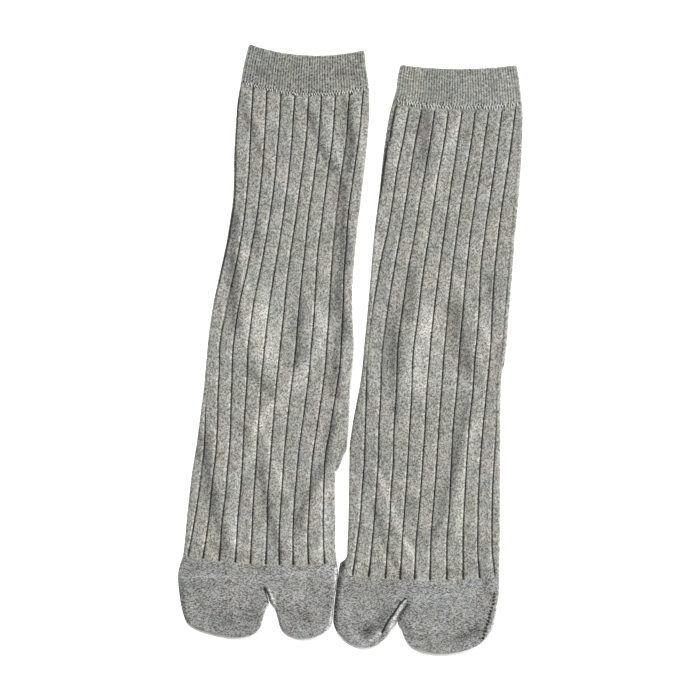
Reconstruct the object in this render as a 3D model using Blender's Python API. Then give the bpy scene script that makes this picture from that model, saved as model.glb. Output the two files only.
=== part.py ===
"""Pair of split-toe (tabi) socks in ribbed cotton, laid flat with the insteps up.

Each sock is knitted in four parts, and each part is a solid of its own: the turned cuff in fine
rib, the wide-ribbed leg and foot, the heel pouch folded flat beneath them, and the plain toe,
which parts into a lobe for the big toe and a lobe for the other four. The cuff, the leg and foot
and the toe are cloth walls round a flattened hollow, open from the mouth down to the toes.

Both socks lie on z = 0 with their cuffs towards +Y. The tables are in millimetres in a sock's own
frame, seen from above with the toes down: `along` runs from the mouth of the cuff to the toes,
and `left` and `right` say where the two side folds lie.
"""

import math
from collections import namedtuple

import bmesh
import bpy
from mathutils import Vector
from mathutils.geometry import intersect_point_line

MM = 0.001

# Cloth, in millimetres
PLAIN_WALL = 1.2
RIB_WALL = 1.6
CUFF_WALL = 1.8
SEAM_GAP = 0.3

# The flattened tube: its thickness at the side folds, the crown that its middle adds, and the
# rounding of a fold, with the share of the radius at which that has a point
LEG_THICK = 3.6
LEG_CROWN = 0.6
CUFF_THICK = 4.0
MOUTH_CROWN = 1.5
TOE_THICK = 3.4
TOE_CROWN = 0.8
FOLD_RADIUS = 1.9
FOLD_STEP = 0.25

# The hollow starts this far inside a side fold, and has its full height a little further in
HOLLOW_INSET = 1.8
HOLLOW_LIP = 2.6
HOLLOW_LIP_OPEN = 0.6
HOLLOW_FULL = 6.0
UNDERSIDE_POINTS = 9

# Wide ribs of the leg and foot: the furrow between two ribs, how round a rib is, how near to the
# side folds a furrow lies, how it fades before the toe, and which furrow lies at Ribs.middle
FURROW_WIDTH = 1.7
FURROW_DEPTH = 0.55
RIB_ROUNDING = 0.12
FURROW_REACH = (0.03, 0.97)
FURROW_FADE_ALONG = 4.0
MIDDLE_FURROW = 6

# Fine one-by-one rib of the cuff
CUFF_RIBS = 58
CUFF_RIB_DEPTH = 0.3
CUFF_RIB_MARGIN = 2.2
CUFF_RINGS = (0.0, 0.3, 0.65, 1.0)
MOUTH_ROUNDING = 0.9

# Toe: rings from the seam to the crotch and from there to the tips, the crease above the crotch,
# the cloth left at the crotch and the tips, the points that round off the slit's edge, as shares
# of the fold's radius, and the points across the big-toe half and the four-toe half
TOE_RINGS = 5
LOBE_RING_ANGLES = (8, 20, 33, 46, 58, 68, 76, 82, 86.5)
CROTCH_CREASE = 1.0
CROTCH_WEB = 1.6
TIP_WALL = 1.7
SLIT_STEP = 0.4
SLIT_EDGE = 0.08
TOE_POINTS = (7, 5)
TOE_HOLLOW_POINTS = (2, 1)
TOE_HOLLOW_RADIUS = 1.0

# Heel pouch: two layers of cloth, each with a rounded edge
HEEL_EDGE = (
    (0.0, 0.8), (0.3, 0.2), (0.65, 0.0), (1.05, 0.2),
    (1.3, 0.8),
    (1.55, 0.2), (1.95, 0.0), (2.3, 0.2), (2.6, 0.8),
)
HEEL_THICK = HEEL_EDGE[-1][0]

# Leg and foot: rings down the leg, over the heel and down the foot, how far round the heel the
# cloth stays lifted and then comes down, and where that stretch has its rings
LEG_RINGS = 7
HEEL_RINGS = 9
FOOT_RINGS = 1
HEEL_MARGIN = 6.0
HEEL_RAMP = 16.0
DRAPE_SHARES = (0.23, 0.55, 1.0)

Section = namedtuple("Section", "along left right")
Ribs = namedtuple("Ribs", "along middle pitch")
Sock = namedtuple("Sock", "name x y turn dips seams furrows leg ribs heel toe crotch lobes")
Dips = namedtuple("Dips", "mouth cuff_seam toe_seam")
Seams = namedtuple("Seams", "cuff toe")
Crotch = namedtuple("Crotch", "along across")

RIGHT_SOCK = Sock(
    name="right",
    x=-29.64,
    y=213.55,
    turn=math.radians(3.0),
    dips=Dips(mouth=5.6, cuff_seam=6.3, toe_seam=3.4),
    seams=Seams(cuff=27.0, toe=362.6),
    furrows=range(1, 11),
    leg=[
        Section(0.0, -39.8, 39.8),
        Section(8.0, -42.9, 41.2),
        Section(16.0, -44.5, 42.9),
        Section(27.0, -45.8, 44.9),
        Section(45.0, -47.5, 45.8),
        Section(75.0, -47.8, 44.8),
        Section(105.0, -46.9, 42.9),
        Section(135.0, -49.3, 41.0),
        Section(165.0, -54.0, 40.2),
        Section(185.0, -57.1, 41.3),
        Section(210.0, -59.2, 43.2),
        Section(240.0, -60.2, 41.8),
        Section(267.0, -62.2, 41.6),
        Section(275.0, -62.8, 40.8),
        Section(282.0, -63.3, 38.4),
        Section(288.0, -63.9, 36.4),
        Section(295.0, -64.7, 35.0),
        Section(305.0, -65.8, 35.0),
        Section(330.0, -67.4, 36.8),
        Section(350.0, -68.4, 37.8),
        Section(362.6, -69.4, 39.8),
    ],
    ribs=[
        Ribs(27.0, 0.527, 0.1068),
        Ribs(50.0, 0.530, 0.1031),
        Ribs(80.0, 0.522, 0.1005),
        Ribs(115.0, 0.506, 0.1027),
        Ribs(150.0, 0.508, 0.1048),
        Ribs(185.0, 0.506, 0.1068),
        Ribs(215.0, 0.496, 0.1056),
        Ribs(240.0, 0.500, 0.1014),
        Ribs(265.0, 0.500, 0.0956),
        Ribs(285.0, 0.521, 0.0955),
        Ribs(310.0, 0.538, 0.0964),
        Ribs(335.0, 0.531, 0.0962),
        Ribs(362.6, 0.528, 0.0972),
    ],
    heel=[
        Section(221.0, -34.0, 12.0),
        Section(225.0, -43.0, 21.0),
        Section(237.0, -53.0, 32.5),
        Section(255.0, -58.6, 39.4),
        Section(271.0, -60.6, 41.9),
        Section(280.0, -61.2, 41.9),
        Section(284.0, -61.4, 40.4),
        Section(291.0, -61.0, 38.4),
        Section(296.5, -58.0, 36.0),
        Section(299.0, -51.0, 30.0),
    ],
    toe=[
        Section(362.6, -69.4, 39.8),
        Section(370.0, -71.4, 40.5),
        Section(376.0, -72.2, 39.9),
        Section(381.6, -71.7, 38.9),
    ],
    crotch=Crotch(along=381.6, across=-9.5),
    lobes=(
        [
            Section(387.0, -70.9, -7.8),
            Section(392.0, -70.0, -6.4),
            Section(398.0, -68.6, -7.7),
            Section(404.0, -66.8, -9.3),
            Section(409.0, -64.2, -11.2),
            Section(413.3, -58.2, -13.8),
            Section(416.6, -49.0, -18.2),
            Section(418.7, -39.0, -25.5),
            Section(419.4, -32.0, -32.0),
        ],
        [
            Section(387.0, -6.6, 38.5),
            Section(392.0, -4.3, 38.4),
            Section(398.0, -1.0, 38.1),
            Section(404.0, 1.1, 37.6),
            Section(409.0, 2.9, 35.5),
            Section(412.6, 5.3, 32.0),
            Section(415.3, 9.8, 27.2),
            Section(417.6, 19.0, 19.0),
        ],
    ),
)

LEFT_SOCK = Sock(
    name="left",
    x=76.76,
    y=201.15,
    turn=math.radians(1.0),
    dips=Dips(mouth=2.7, cuff_seam=6.6, toe_seam=3.7),
    seams=Seams(cuff=24.2, toe=360.2),
    furrows=range(1, 11),
    leg=[
        Section(0.0, -39.5, 39.5),
        Section(8.0, -42.0, 42.1),
        Section(16.0, -43.2, 43.7),
        Section(24.2, -45.2, 44.7),
        Section(35.0, -47.8, 45.6),
        Section(60.0, -51.3, 44.8),
        Section(90.0, -54.0, 43.3),
        Section(120.0, -57.2, 41.1),
        Section(150.0, -59.2, 39.4),
        Section(180.0, -61.3, 37.4),
        Section(200.0, -62.9, 35.9),
        Section(212.0, -63.7, 33.8),
        Section(225.0, -65.1, 32.8),
        Section(240.0, -67.7, 32.8),
        Section(257.0, -70.4, 33.1),
        Section(272.0, -71.9, 33.4),
        Section(310.0, -71.8, 33.9),
        Section(345.0, -72.4, 34.3),
        Section(352.0, -74.1, 34.4),
        Section(360.2, -76.2, 34.6),
    ],
    ribs=[
        Ribs(24.2, 0.645, 0.1051),
        Ribs(50.0, 0.627, 0.1011),
        Ribs(80.0, 0.604, 0.1000),
        Ribs(110.0, 0.588, 0.0997),
        Ribs(140.0, 0.574, 0.1029),
        Ribs(170.0, 0.568, 0.1067),
        Ribs(200.0, 0.568, 0.1096),
        Ribs(225.0, 0.583, 0.1086),
        Ribs(250.0, 0.586, 0.1016),
        Ribs(280.0, 0.581, 0.0972),
        Ribs(310.0, 0.567, 0.0978),
        Ribs(335.0, 0.558, 0.0996),
        Ribs(360.2, 0.572, 0.1004),
    ],
    heel=[
        Section(200.5, -50.0, 25.0),
        Section(202.5, -57.0, 32.5),
        Section(205.5, -60.0, 36.3),
        Section(210.0, -61.2, 36.0),
        Section(216.0, -61.6, 33.6),
        Section(232.0, -60.0, 30.5),
        Section(250.0, -54.5, 25.0),
        Section(264.0, -45.0, 15.0),
        Section(270.5, -36.0, 5.0),
        Section(273.5, -27.0, -4.0),
    ],
    toe=[
        Section(360.2, -76.2, 34.6),
        Section(366.0, -77.1, 34.7),
        Section(373.0, -78.1, 34.5),
        Section(380.7, -78.9, 33.4),
    ],
    crotch=Crotch(along=380.7, across=-29.4),
    lobes=(
        [
            Section(385.0, -79.2, -33.0),
            Section(390.0, -79.5, -36.0),
            Section(395.0, -79.6, -38.2),
            Section(400.0, -78.8, -41.4),
            Section(404.0, -76.2, -43.8),
            Section(408.0, -71.4, -47.8),
            Section(410.6, -65.8, -52.0),
            Section(411.9, -58.6, -58.6),
        ],
        [
            Section(385.0, -32.2, 32.9),
            Section(390.0, -35.1, 32.1),
            Section(393.6, -36.2, 31.4),
            Section(397.0, -34.0, 30.3),
            Section(400.0, -32.8, 28.9),
            Section(404.0, -31.2, 25.8),
            Section(408.0, -28.4, 21.4),
            Section(411.0, -24.8, 16.6),
            Section(413.6, -19.8, 10.2),
            Section(415.6, -12.5, 3.2),
            Section(416.4, -4.5, -4.5),
        ],
    ),
)

SOCKS = (RIGHT_SOCK, LEFT_SOCK)

# Heather greys of the yarn, its finish, and the angle below which a surface is shaded smooth
CUFF_GREY = (0.240, 0.243, 0.220)
RIB_GREY = (0.310, 0.306, 0.275)
TOE_GREY = (0.275, 0.272, 0.262)
HEEL_GREY = (0.290, 0.287, 0.265)
KNIT_ROUGHNESS = 0.95
SMOOTH_BELOW = math.radians(50)


def clear_scene():
    """Remove whatever the file opened with."""
    for old in list(bpy.data.objects):
        bpy.data.objects.remove(old, do_unlink=True)


def ease(share):
    """A smooth step from 0 to 1 as a share goes from 0 to 1."""
    share = min(max(share, 0.0), 1.0)
    return share * share * (3.0 - 2.0 * share)


def arch(share):
    """A low arch across a sock: 0 at its two side folds and 1 half way between them."""
    return 4 * share * (1 - share)


def read(rows, key):
    """Read a table at a key, on smooth curves that pass through its rows and never overshoot."""
    keys = [row[0] for row in rows]
    key = min(max(key, keys[0]), keys[-1])
    low = max(i for i in range(len(rows) - 1) if keys[i] <= key)
    span = keys[low + 1] - keys[low]
    share = (key - keys[low]) / span

    def slope(i, column):
        """Slope at a row: the harmonic mean of the slopes on its two sides."""
        if i == 0 or i == len(rows) - 1:
            inner = min(i, len(rows) - 2)
            return (rows[inner + 1][column] - rows[inner][column]) / (keys[inner + 1] - keys[inner])
        before = (rows[i][column] - rows[i - 1][column]) / (keys[i] - keys[i - 1])
        after = (rows[i + 1][column] - rows[i][column]) / (keys[i + 1] - keys[i])
        return 2.0 * before * after / (before + after) if before * after > 0 else 0.0

    values = [key]
    for column in range(1, len(rows[0])):
        start, end = rows[low][column], rows[low + 1][column]
        leave, arrive = slope(low, column) * span, slope(low + 1, column) * span
        bend = ease(share)
        hook = share * (1 - share) ** 2 * leave - share ** 2 * (1 - share) * arrive
        values.append(start + (end - start) * bend + hook)
    return type(rows[0])(*values)


def spread(start, end, count):
    """Evenly spaced values between two ends, without the ends."""
    return [start + (end - start) * i / (count + 1) for i in range(1, count + 1)]


def fold_share(distance, radius):
    """How much of its half thickness a rounded fold has at a distance inside its edge."""
    if distance >= radius:
        return 1.0
    return math.sqrt(max(0.0, 1.0 - (1.0 - distance / radius) ** 2))


def on_floor(across, along):
    """Height of the underside where nothing lies beneath it."""
    return 0.0


def heel_outline(sock):
    """The pouch's outline, once round: down its right side and up its left."""
    rows = []
    for row, following in zip(sock.heel, sock.heel[1:]):
        rows += [row, read(sock.heel, (row.along + following.along) / 2)]
    rows.append(sock.heel[-1])
    right = [Vector((row.right, row.along)) for row in rows]
    left = [Vector((row.left, row.along)) for row in reversed(rows)]
    return right + left


def drape_over_heel(sock):
    """Make the function for the height of an underside that drapes over the folded heel."""
    outline = heel_outline(sock)
    edges = list(zip(outline, outline[1:] + outline[:1]))
    start, end = sock.heel[0].along, sock.heel[-1].along

    def distance(place, edge):
        nearest, share = intersect_point_line(place, *edge)
        if share < 0 or share > 1:
            nearest = edge[0] if share < 0 else edge[1]
        return (place - nearest).length

    def height(across, along):
        row = read(sock.heel, along)
        away = 0.0
        if not (start <= along <= end and row.left <= across <= row.right):
            away = min(distance(Vector((across, along)), edge) for edge in edges)
        return (HEEL_THICK + SEAM_GAP) * ease(1 - (away - HEEL_MARGIN) / HEEL_RAMP)

    return height


class Form:
    """A bmesh whose points are given in one sock's own frame."""

    def __init__(self, sock):
        self.sock = sock
        self.mesh = bmesh.new()

    def point(self, across, along, up):
        """A vertex of the mesh, in the pair's frame and in metres."""
        sock = self.sock
        cosine, sine = math.cos(sock.turn), math.sin(sock.turn)
        x = sock.x + across * cosine - along * sine
        y = sock.y - across * sine - along * cosine
        return self.mesh.verts.new(Vector((x, y, up)) * MM)

    def loft(self, rings):
        """Skin a list of closed rings that all have the same number of points."""
        for ring, following in zip(rings, rings[1:]):
            for i in range(len(ring)):
                j = (i + 1) % len(ring)
                self.mesh.faces.new((ring[i], ring[j], following[j], following[i]))

    def strip(self, ring, tops):
        """Close a ring by joining its top points to the bottom points under them."""
        count = len(ring)
        upper = ring[:tops]
        lower = [ring[-i % count] for i in range(tops)]
        for i in range(tops - 1):
            corners = [upper[i], upper[i + 1], lower[i + 1], lower[i]]
            self.mesh.faces.new(list(dict.fromkeys(corners)))
        if count > 2 * tops - 1:
            self.mesh.faces.new((upper[-1], ring[tops], lower[-1]))

    def rim(self, outer, outer_turns, inner, inner_turns):
        """Fill between two rings with unlike numbers of points, which start at the same fold."""
        i = j = 0
        outer_turns = list(outer_turns) + [2.0]
        inner_turns = list(inner_turns) + [2.0]
        while i < len(outer) or j < len(inner):
            here, there = outer[i % len(outer)], inner[j % len(inner)]
            inner_done = j == len(inner)
            outer_next = i < len(outer) and outer_turns[i + 1] <= inner_turns[min(j + 1, len(inner))]
            if inner_done or outer_next:
                i += 1
                self.mesh.faces.new((here, outer[i % len(outer)], there))
            else:
                j += 1
                self.mesh.faces.new((here, inner[j % len(inner)], there))

    def finish(self, name, material, collection):
        """Turn the faces outwards and make the object."""
        bmesh.ops.recalc_face_normals(self.mesh, faces=self.mesh.faces)
        data = bpy.data.meshes.new(name)
        self.mesh.to_mesh(data)
        self.mesh.free()
        data.shade_smooth()
        data.set_sharp_from_angle(angle=SMOOTH_BELOW)
        data.materials.append(material)
        made = bpy.data.objects.new(name, data)
        collection.objects.link(made)
        return made


def tube_ring(form, section, dip, floor, thick, crown, tops, bottoms):
    """One ring of the outside of a flattened tube.

    floor gives the height of the underside at a place. tops holds the share across and the
    relief of each point from the left fold to the right one, and bottoms the shares of the
    points of the flat underside, from right to left.
    """
    width = section.right - section.left
    half = thick / 2

    def put(share, lift):
        along = section.along + dip * arch(share)
        full = fold_share(min(share, 1 - share) * width, FOLD_RADIUS)
        across = section.left + share * width
        return form.point(across, along, floor(across, along) + half + full * lift)

    ring = [put(share, half + crown * arch(share) + relief) for share, relief in tops]
    ring += [put(share, -half) for share in bottoms]
    turns = [share for share, _ in tops] + [2 - share for share in bottoms]
    return ring, turns


def hollow_ring(form, section, dip, floor, thick, crown, lower_wall, upper_wall):
    """One ring of the plain inside of a flattened tube."""
    width = section.right - section.left
    edges = [HOLLOW_LIP / width, HOLLOW_FULL / width]
    shares = edges + spread(0.0, 1.0, 3) + [1 - edge for edge in reversed(edges)]
    half = (thick - lower_wall - upper_wall) / 2

    def put(share, lift):
        along = section.along + dip * arch(share)
        inside = min(share, 1 - share) * width
        opened = HOLLOW_LIP_OPEN if inside < HOLLOW_FULL / 2 else 1.0
        across = section.left + share * width
        return form.point(across, along, floor(across, along) + lower_wall + half + lift * opened)

    tip = HOLLOW_INSET / width
    ring = [put(tip, 0.0)]
    ring += [put(share, half + crown * arch(share)) for share in shares]
    ring += [put(1 - tip, 0.0)]
    ring += [put(share, -half) for share in reversed(shares)]
    turns = [0.0] + shares + [1 - tip] + [2 - share for share in reversed(shares)]
    return ring, turns


def fold_shares(width):
    """Shares of the points that round off a side fold."""
    return [0.0, FOLD_STEP * FOLD_RADIUS / width, FOLD_RADIUS / width]


def underside_shares(width):
    """Shares of the underside's points, from right to left, without the two folds."""
    near = fold_shares(width)[1:]
    middle = spread(1.0, 0.0, UNDERSIDE_POINTS)
    return [1 - share for share in near] + middle + list(reversed(near))


def furrow_shares(sock, along):
    """Where the furrows between the wide ribs lie across the front, and how deep each one is."""
    ribs = read(sock.ribs, along)
    low, high = FURROW_REACH
    fade = ease((sock.seams.toe - along) / FURROW_FADE_ALONG)
    found = []
    for number in sock.furrows:
        share = ribs.middle + (number - MIDDLE_FURROW) * ribs.pitch
        showing = ease(min(share, 1 - share) / low)
        found.append((min(max(share, low), high), showing * fade))
    return found


def leg_tops(sock, along, width):
    """The front's points at one ring of the leg and foot: folds, furrows and rib crowns."""
    furrows = furrow_shares(sock, along)
    half = FURROW_WIDTH / 2 / width
    near = fold_shares(width)
    tops = [(share, 0.0) for share in near]
    previous = None
    for share, depth in furrows:
        if previous is not None:
            tops.append(((previous + share) / 2, 0.0))
        tops.append((share - half, -RIB_ROUNDING * depth))
        tops.append((share, -FURROW_DEPTH * depth))
        tops.append((share + half, -RIB_ROUNDING * depth))
        previous = share
    tops.extend((1 - share, 0.0) for share in reversed(near))
    return tops


def leg_stations(sock):
    """Distances along the leg and foot at which it has a ring."""
    start = sock.seams.cuff + SEAM_GAP / 2
    end = sock.seams.toe - SEAM_GAP / 2
    heel_start, heel_end = sock.heel[0].along, sock.heel[-1].along
    drape = HEEL_MARGIN + HEEL_RAMP
    fade = end - FURROW_FADE_ALONG
    stations = [start] + spread(start, heel_start - drape, LEG_RINGS)
    stations += [heel_start - drape * share for share in DRAPE_SHARES]
    stations += spread(heel_start, heel_end, HEEL_RINGS)
    stations += [heel_end + drape * share for share in DRAPE_SHARES]
    stations += spread(heel_end + drape, fade, FOOT_RINGS) + [fade, end]
    return sorted(stations)


def make_leg(sock, material, collection):
    """The ribbed tube of the leg and foot, lifted where it lies on the folded heel."""
    form = Form(sock)
    outer, inner = [], []
    length = sock.seams.toe - sock.seams.cuff
    floor = drape_over_heel(sock)
    for along in leg_stations(sock):
        section = read(sock.leg, along)
        width = section.right - section.left
        share = (along - sock.seams.cuff) / length
        dip = sock.dips.cuff_seam * (1 - share) + sock.dips.toe_seam * share
        tops = leg_tops(sock, along, width)
        outer.append(tube_ring(form, section, dip, floor, LEG_THICK, LEG_CROWN, tops,
                               underside_shares(width)))
        inner.append(hollow_ring(form, section, dip, floor, LEG_THICK, LEG_CROWN,
                                 PLAIN_WALL, RIB_WALL))
    form.loft([ring for ring, _ in outer])
    form.loft([ring for ring, _ in inner])
    form.rim(*outer[0], *inner[0])
    form.rim(*outer[-1], *inner[-1])
    return form.finish(f"{sock.name}_leg_foot", material, collection)


def cuff_tops(width):
    """The front's points at one ring of the cuff: a crown and a valley for each fine rib."""
    near = fold_shares(width)
    margin = CUFF_RIB_MARGIN / width
    step = (1 - 2 * margin) / (2 * CUFF_RIBS)
    tops = [(share, 0.0) for share in near]
    for i in range(2 * CUFF_RIBS + 1):
        tops.append((margin + i * step, 0.0 if i % 2 else -CUFF_RIB_DEPTH))
    tops.extend((1 - share, 0.0) for share in reversed(near))
    return tops


def make_cuff(sock, material, collection):
    """The turned cuff, with a rounded mouth."""
    form = Form(sock)
    outer, inner = [], []
    end = sock.seams.cuff - SEAM_GAP / 2
    for share in CUFF_RINGS:
        along = MOUTH_ROUNDING + (end - MOUTH_ROUNDING) * share
        section = read(sock.leg, along)
        width = section.right - section.left
        dip = sock.dips.mouth * (1 - share) + sock.dips.cuff_seam * share
        crown = MOUTH_CROWN * (1 - share) + LEG_CROWN * share
        outer.append(tube_ring(form, section, dip, on_floor, CUFF_THICK, crown, cuff_tops(width),
                               underside_shares(width)))
        inner.append(hollow_ring(form, section, dip, on_floor, CUFF_THICK, crown,
                                 CUFF_WALL, CUFF_WALL))
    lip = mouth_lip(form, sock)
    form.loft([ring for ring, _ in outer])
    form.loft([lip[0]] + [ring for ring, _ in inner])
    form.rim(*outer[0], *lip)
    form.rim(*outer[-1], *inner[-1])
    return form.finish(f"{sock.name}_cuff", material, collection)


def mouth_lip(form, sock):
    """The edge of the mouth, where the turned cloth comes back: half way through the wall."""
    mouth = read(sock.leg, 0.0)
    half_wall = CUFF_WALL / 2
    return hollow_ring(form, Section(0.0, mouth.left - half_wall / 2, mouth.right + half_wall / 2),
                       sock.dips.mouth, on_floor, CUFF_THICK, MOUTH_CROWN, half_wall, half_wall)


def half_offsets(width, count, radius, slit):
    """Offsets of a half toe's points from its side fold to the slit."""
    inner = spread(radius, width - radius, count)
    rounding = [width - radius, width - SLIT_STEP * radius, width - slit]
    return [0.0, FOLD_STEP * radius, radius] + inner + rounding


class ToeSkin:
    """One skin of the toe, outer or inner: rings that part into two lobes at the crotch."""

    def __init__(self, form, inset, floor, thick, crown, radius, count):
        self.form = form
        self.sock = form.sock
        self.inset = inset
        self.floor = floor
        self.thick = thick
        self.crown = crown
        self.radius = radius
        self.count = count
        self.crotch = self.sock.crotch.along - (CROTCH_WEB if inset else 0.0)

    def height(self, full, bulge, sink, top):
        """Height of a point of the top or bottom side."""
        half = self.thick / 2
        if top:
            return self.floor + half + full * (half + self.crown * bulge) - sink
        return self.floor + half - full * half

    def whole_ring(self, along, dip, creased):
        """A ring right across the toe, above the crotch, creased where the slit will start."""
        row = read(self.sock.toe, along)
        left, right = row.left + self.inset, row.right - self.inset
        crotch = self.sock.crotch.across
        first = [left + offset for offset in half_offsets(crotch - left, self.count[0],
                                                          self.radius, 0.0)]
        second = [right - offset for offset in half_offsets(right - crotch, self.count[1],
                                                            self.radius, 0.0)]
        across = first + list(reversed(second))[1:]
        split = len(first) - 1
        shares = [(x - row.left) / (row.right - row.left) for x in across]

        def put(i, top):
            share = shares[i]
            full = fold_share(min(across[i] - left, right - across[i]), self.radius)
            bulge = arch(share)
            near = max(0.0, 1 - abs(across[i] - crotch) / (2 * self.radius))
            sink = CROTCH_CREASE * creased * near if top and not self.inset else 0.0
            up = self.height(full, bulge, sink, top)
            return self.form.point(across[i], along + dip * bulge, up)

        tops = [put(i, True) for i in range(len(across))]
        bottoms = [put(i, False) for i in range(len(across) - 2, 0, -1)]
        turns = shares + [2 - shares[i] for i in range(len(across) - 2, 0, -1)]
        return tops + bottoms, turns, split, len(across)

    def lobe_ring(self, rows, side, angle):
        """A ring round one lobe; the angle runs from 0 at the crotch to 90 at the tip."""
        start, tip = rows[0].along, rows[-1].along
        keyed = [Section(math.degrees(math.asin((row.along - start) / (tip - start))),
                         row.left, row.right) for row in rows]
        row = read(keyed, angle)
        widest = max(r.right - r.left for r in rows)
        scale = 1 - 2 * self.inset / widest
        middle = (row.left + row.right) / 2
        left = middle + (row.left - middle) * scale
        right = middle + (row.right - middle) * scale
        reach = tip - (TIP_WALL if self.inset else 0.0) - self.crotch
        along = self.crotch + reach * math.sin(math.radians(angle))
        tip_full = fold_share(reach * (1 - math.sin(math.radians(angle))), self.radius)
        width = right - left
        radius = min(self.radius, width / 3)
        offsets = half_offsets(width, self.count[side], radius, SLIT_EDGE * radius)
        across = [left + offset if side == 0 else right - offset for offset in offsets]
        half = self.thick / 2

        def put(x, top):
            full = fold_share(min(x - left, right - x), radius) * tip_full
            share = (x - left) / width
            bulge = arch(share)
            return self.form.point(x, along, self.height(full, bulge, 0.0, top))

        tops = [put(x, True) for x in across]
        slit_edge = right if side == 0 else left
        web = self.form.point(slit_edge, along, self.floor + half)
        bottoms = [put(x, False) for x in reversed(across[1:])]
        return tops + [web] + bottoms

    def build(self):
        """Make the rings, skin them, and give back the first ring for the rim."""
        sock = self.sock
        start = sock.seams.toe + SEAM_GAP / 2
        whole = []
        for i in range(TOE_RINGS):
            share = i / (TOE_RINGS - 1)
            along = start + (self.crotch - start) * share
            whole.append(self.whole_ring(along, sock.dips.toe_seam * (1 - share), share ** 2))
        self.form.loft([ring for ring, _, _, _ in whole])
        ring, _, split, tops = whole[-1]
        web = self.form.point(sock.crotch.across, self.crotch, self.floor + self.thick / 2)
        total = len(ring)
        first = ring[:split + 1] + [web] + ring[total - split:]
        second = self.second_start(ring, split, tops, web)
        edge = read(sock.toe, sock.crotch.along)
        for side, started in enumerate((first, second)):
            crotch_row = (Section(sock.crotch.along, edge.left, sock.crotch.across),
                          Section(sock.crotch.along, sock.crotch.across, edge.right))[side]
            rows = [crotch_row] + sock.lobes[side]
            rings = [started] + [self.lobe_ring(rows, side, angle) for angle in LOBE_RING_ANGLES]
            self.form.loft(rings)
            self.form.strip(rings[-1], len(started) // 2)
        return whole[0][0], whole[0][1]

    @staticmethod
    def second_start(ring, split, tops, web):
        """The right lobe's first ring, which runs from the right fold back to the slit."""
        total = len(ring)
        upper = [ring[i] for i in range(tops - 1, split - 1, -1)]
        lower = [ring[i] for i in range(total - split, tops - 1, -1)]
        return upper + [web] + lower


def make_toe(sock, material, collection):
    """The plain toe with its two lobes."""
    form = Form(sock)
    outer = ToeSkin(form, 0.0, 0.0, TOE_THICK, TOE_CROWN, FOLD_RADIUS, TOE_POINTS).build()
    hollow = TOE_THICK - 2 * PLAIN_WALL
    inner = ToeSkin(form, HOLLOW_INSET, PLAIN_WALL, hollow, TOE_CROWN, TOE_HOLLOW_RADIUS,
                    TOE_HOLLOW_POINTS).build()
    form.rim(*outer, *inner)
    return form.finish(f"{sock.name}_toe", material, collection)


def inset_outline(outline, inset):
    """The outline moved inwards by an even distance."""
    moved = []
    for i, corner in enumerate(outline):
        chord = (outline[(i + 1) % len(outline)] - outline[i - 1]).normalized()
        moved.append(corner + Vector((-chord.y, chord.x)) * inset)
    return moved


def make_heel(sock, material, collection):
    """The heel pouch, folded flat under the sock: two layers that show at its edge."""
    form = Form(sock)
    outline = heel_outline(sock)
    rings = []
    for up, inset in HEEL_EDGE:
        rings.append([form.point(x, y, up) for x, y in inset_outline(outline, inset)])
    form.loft(rings)
    form.mesh.faces.new(rings[0])
    form.mesh.faces.new(rings[-1])
    return form.finish(f"{sock.name}_heel", material, collection)


def knit(name, colour):
    """The matt yarn of one kind of knitting."""
    material = bpy.data.materials.new(name)
    material.use_nodes = True
    material.diffuse_color = (*colour, 1.0)
    shader = material.node_tree.nodes["Principled BSDF"]
    shader.inputs["Base Color"].default_value = (*colour, 1.0)
    shader.inputs["Roughness"].default_value = KNIT_ROUGHNESS
    shader.inputs["Metallic"].default_value = 0.0
    return material


def main():
    clear_scene()
    collection = bpy.data.collections.new("tabi_socks")
    bpy.context.scene.collection.children.link(collection)
    fine_rib = knit("fine_rib_knit", CUFF_GREY)
    wide_rib = knit("wide_rib_knit", RIB_GREY)
    heel_knit = knit("heel_knit", HEEL_GREY)
    toe_knit = knit("toe_knit", TOE_GREY)
    for sock in SOCKS:
        make_cuff(sock, fine_rib, collection)
        make_leg(sock, wide_rib, collection)
        make_heel(sock, heel_knit, collection)
        make_toe(sock, toe_knit, collection)


main()
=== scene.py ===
"""Looks of a pair of ribbed split-toe (tabi) socks, laid flat with the insteps up."""

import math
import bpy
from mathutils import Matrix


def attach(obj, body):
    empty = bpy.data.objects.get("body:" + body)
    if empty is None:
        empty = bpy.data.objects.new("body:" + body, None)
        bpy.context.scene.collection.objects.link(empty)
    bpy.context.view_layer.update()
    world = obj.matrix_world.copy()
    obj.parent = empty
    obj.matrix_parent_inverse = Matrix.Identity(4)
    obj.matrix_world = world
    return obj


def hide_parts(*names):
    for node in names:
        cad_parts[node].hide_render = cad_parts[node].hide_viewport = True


bl_info = {
    "name": "Ribbed Tabi Socks",
    "version": (1, 0, 0),
    "blender": (4, 5, 0),
    "location": "3D View > Sidebar > Tabi Socks",
    "description": "Knits a pair of split-toe socks in heather yarn round their fixed solids",
    "category": "Add Mesh",
}

from collections import namedtuple

import bmesh
import bpy
import numpy as np

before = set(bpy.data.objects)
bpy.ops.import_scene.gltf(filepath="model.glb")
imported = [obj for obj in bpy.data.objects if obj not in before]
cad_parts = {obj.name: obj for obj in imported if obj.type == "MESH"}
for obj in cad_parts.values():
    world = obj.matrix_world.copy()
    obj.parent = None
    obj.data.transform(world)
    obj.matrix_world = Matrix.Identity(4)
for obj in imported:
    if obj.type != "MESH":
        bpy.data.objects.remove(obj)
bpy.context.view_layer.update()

MM = 0.001
BODY = "root"

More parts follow.
